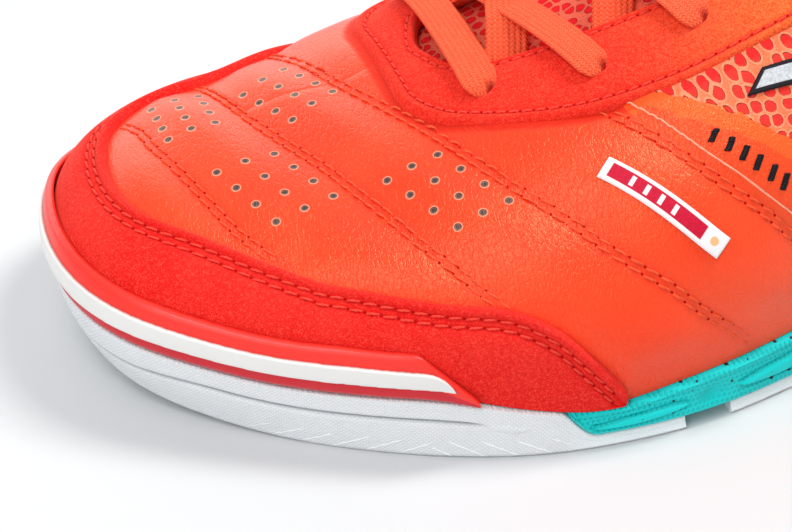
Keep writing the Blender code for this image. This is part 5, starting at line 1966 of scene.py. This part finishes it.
class ShoeColours(bpy.types.PropertyGroup):
    """Colours of the finish."""
    leather: colour_property("Leather", "Vamp leather", (0.92, 0.037, 0.010))
    leather_light: colour_property("Light leather", "Lighter patches of the leather", (0.95, 0.050, 0.014))
    # Pores of the leather's grain, and painted shade in its seams and creases
    leather_grain_and_shade: colour_property("Deep leather", "Leather in seams and creases", (0.78, 0.020, 0.006))
    # Painted shade along the overlays' edges
    painted_edge_shade: colour_property("Crevice", "Leather along the eyestay's edge", (0.60, 0.003, 0.003))
    suede: colour_property("Suede", "Toe cap suede", (0.85, 0.019, 0.015))
    eyestay: colour_property("Eyestay", "Front of the eyestay", (0.90, 0.034, 0.017))
    eyestay_back: colour_property("Eyestay, rear", "Rear of the eyestay", (1.0, 0.26, 0.05))
    rear: colour_property("Quarter", "Colour that the upper fades to behind", (1.0, 0.20, 0.03))
    bumper: colour_property("Bumper", "Toe bumper rubber", (0.90, 0.030, 0.019))
    stripe: colour_property("Stripe", "Stripe in the bumper", (0.76, 0.745, 0.72))
    pale: colour_property("Outsole", "Pale outsole rubber", (0.84, 0.86, 0.88))
    # Painted shade in the outsole's incised lines
    shaded_furrow: colour_property("Furrow", "Incised lines of the outsole", (0.30, 0.31, 0.33))
    foam: colour_property("Midsole", "Teal midsole foam", (0.002, 0.60, 0.59))
    lace: colour_property("Lace", "Lace yarn", (0.95, 0.125, 0.046))
    lace_light: colour_property("Light lace", "Lace yarn where it catches the light", (1.0, 0.27, 0.13))
    # Painted shade of the lace between its yarns and cords
    lace_weave_shade: colour_property("Deep lace", "Lace between its yarns", (0.80, 0.055, 0.022))
    web: colour_property("Web", "Web of the mesh quarter", (0.97, 0.19, 0.085))
    web_deep: colour_property("Ground", "Ground behind the mesh", (0.82, 0.012, 0.018))
    tongue_web: colour_property("Tongue", "Web of the tongue's mesh", (1.0, 0.17, 0.10))
    film: colour_property("Film", "Welded film along the mesh", (1.0, 0.11, 0.015))
    rim: colour_property("Rim", "Cut edges of the leather", (1.0, 0.40, 0.25))
    lining: colour_property("Backing", "Grey backing seen in the punched holes", (0.18, 0.12, 0.13))
    lining_cloth: colour_property("Lining", "Collar lining cloth", (0.70, 0.03, 0.02))
    footbed: colour_property("Footbed", "Cloth of the footbed", (0.07, 0.07, 0.08))
    thread: colour_property("Thread", "Thread of the suede's rows", (1.0, 0.070, 0.045))
    thread_light: colour_property("Light thread", "Thread of the vamp's rows", (1.0, 0.115, 0.040))
    floor: colour_property("Floor", "Studio floor", (0.645, 0.656, 0.666))


class SHOE_OT_upper(bpy.types.Operator):
    """Builds the leather upper with its lining"""
    bl_idname = "shoe.upper"
    bl_label = "Upper"

    def execute(self, context):
        make_upper(context.scene.shoe_sizes, context.scene.shoe_colours)
        return {"FINISHED"}


class SHOE_OT_overlays(bpy.types.Operator):
    """Builds the suede toe cap and eyestay with all the stitching"""
    bl_idname = "shoe.overlays"
    bl_label = "Overlays and stitching"

    def execute(self, context):
        sizes, colours = context.scene.shoe_sizes, context.scene.shoe_colours
        cap_rows = make_toe_cap(sizes, colours)
        stay_rows = make_eyestay(sizes, colours)
        make_stitching(sizes, colours, cap_rows, stay_rows)
        return {"FINISHED"}


class SHOE_OT_bumper(bpy.types.Operator):
    """Builds the rubber toe bumper and its stripe"""
    bl_idname = "shoe.bumper"
    bl_label = "Toe bumper"

    def execute(self, context):
        make_bumper(context.scene.shoe_colours)
        return {"FINISHED"}


class SHOE_OT_badges(bpy.types.Operator):
    """Builds the plain side label, patch and embroidered bars"""
    bl_idname = "shoe.badges"
    bl_label = "Label and patch"

    def execute(self, context):
        make_badges(context.scene.shoe_sizes)
        return {"FINISHED"}


class SHOE_OT_sole(bpy.types.Operator):
    """Builds the midsole and the outsole pads"""
    bl_idname = "shoe.sole"
    bl_label = "Sole"

    def execute(self, context):
        make_sole(context.scene.shoe_colours)
        return {"FINISHED"}


class SHOE_OT_inside(bpy.types.Operator):
    """Builds the tongue and the footbed"""
    bl_idname = "shoe.inside"
    bl_label = "Tongue and footbed"

    def execute(self, context):
        make_tongue(context.scene.shoe_colours)
        make_insole(context.scene.shoe_colours)
        return {"FINISHED"}


class SHOE_OT_laces(bpy.types.Operator):
    """Builds the flat laces and the eyelets"""
    bl_idname = "shoe.laces"
    bl_label = "Laces"

    def execute(self, context):
        make_laces(context.scene.shoe_colours)
        return {"FINISHED"}


class SHOE_OT_stage(bpy.types.Operator):
    """Sets up the floor, the lights and the camera"""
    bl_idname = "shoe.stage"
    bl_label = "Stage"

    def execute(self, context):
        make_stage(context.scene.shoe_colours)
        return {"FINISHED"}


OPERATORS = (
    SHOE_OT_upper, SHOE_OT_overlays, SHOE_OT_bumper, SHOE_OT_badges, SHOE_OT_sole, SHOE_OT_inside,
    SHOE_OT_laces, SHOE_OT_stage,
)


class SHOE_PT_panel(bpy.types.Panel):
    """Lists the shoe's operators, sizes and colours"""
    bl_label = "Indoor soccer shoe"
    bl_idname = "SHOE_PT_panel"
    bl_space_type = "VIEW_3D"
    bl_region_type = "UI"
    bl_category = "Shoe"

    def draw(self, context):
        for operator in OPERATORS:
            self.layout.operator(operator.bl_idname)
        for group in (context.scene.shoe_sizes, context.scene.shoe_colours):
            for name in group.__annotations__:
                self.layout.prop(group, name)


CLASSES = (ShoeSizes, ShoeColours, *OPERATORS, SHOE_PT_panel)


def register():
    """Registers the classes and hangs the properties on the scene."""
    for item in CLASSES:
        bpy.utils.register_class(item)
    bpy.types.Scene.shoe_sizes = bpy.props.PointerProperty(type=ShoeSizes)
    bpy.types.Scene.shoe_colours = bpy.props.PointerProperty(type=ShoeColours)


def unregister():
    """Takes the properties and the classes away again."""
    del bpy.types.Scene.shoe_colours
    del bpy.types.Scene.shoe_sizes
    for item in reversed(CLASSES):
        bpy.utils.unregister_class(item)


def main():
    """Builds the stage and the shoe."""
    register()
    bpy.ops.shoe.stage()
    bpy.ops.shoe.upper()
    bpy.ops.shoe.overlays()
    bpy.ops.shoe.bumper()
    bpy.ops.shoe.badges()
    bpy.ops.shoe.sole()
    bpy.ops.shoe.inside()
    bpy.ops.shoe.laces()


if __name__ == "__main__":
    main()
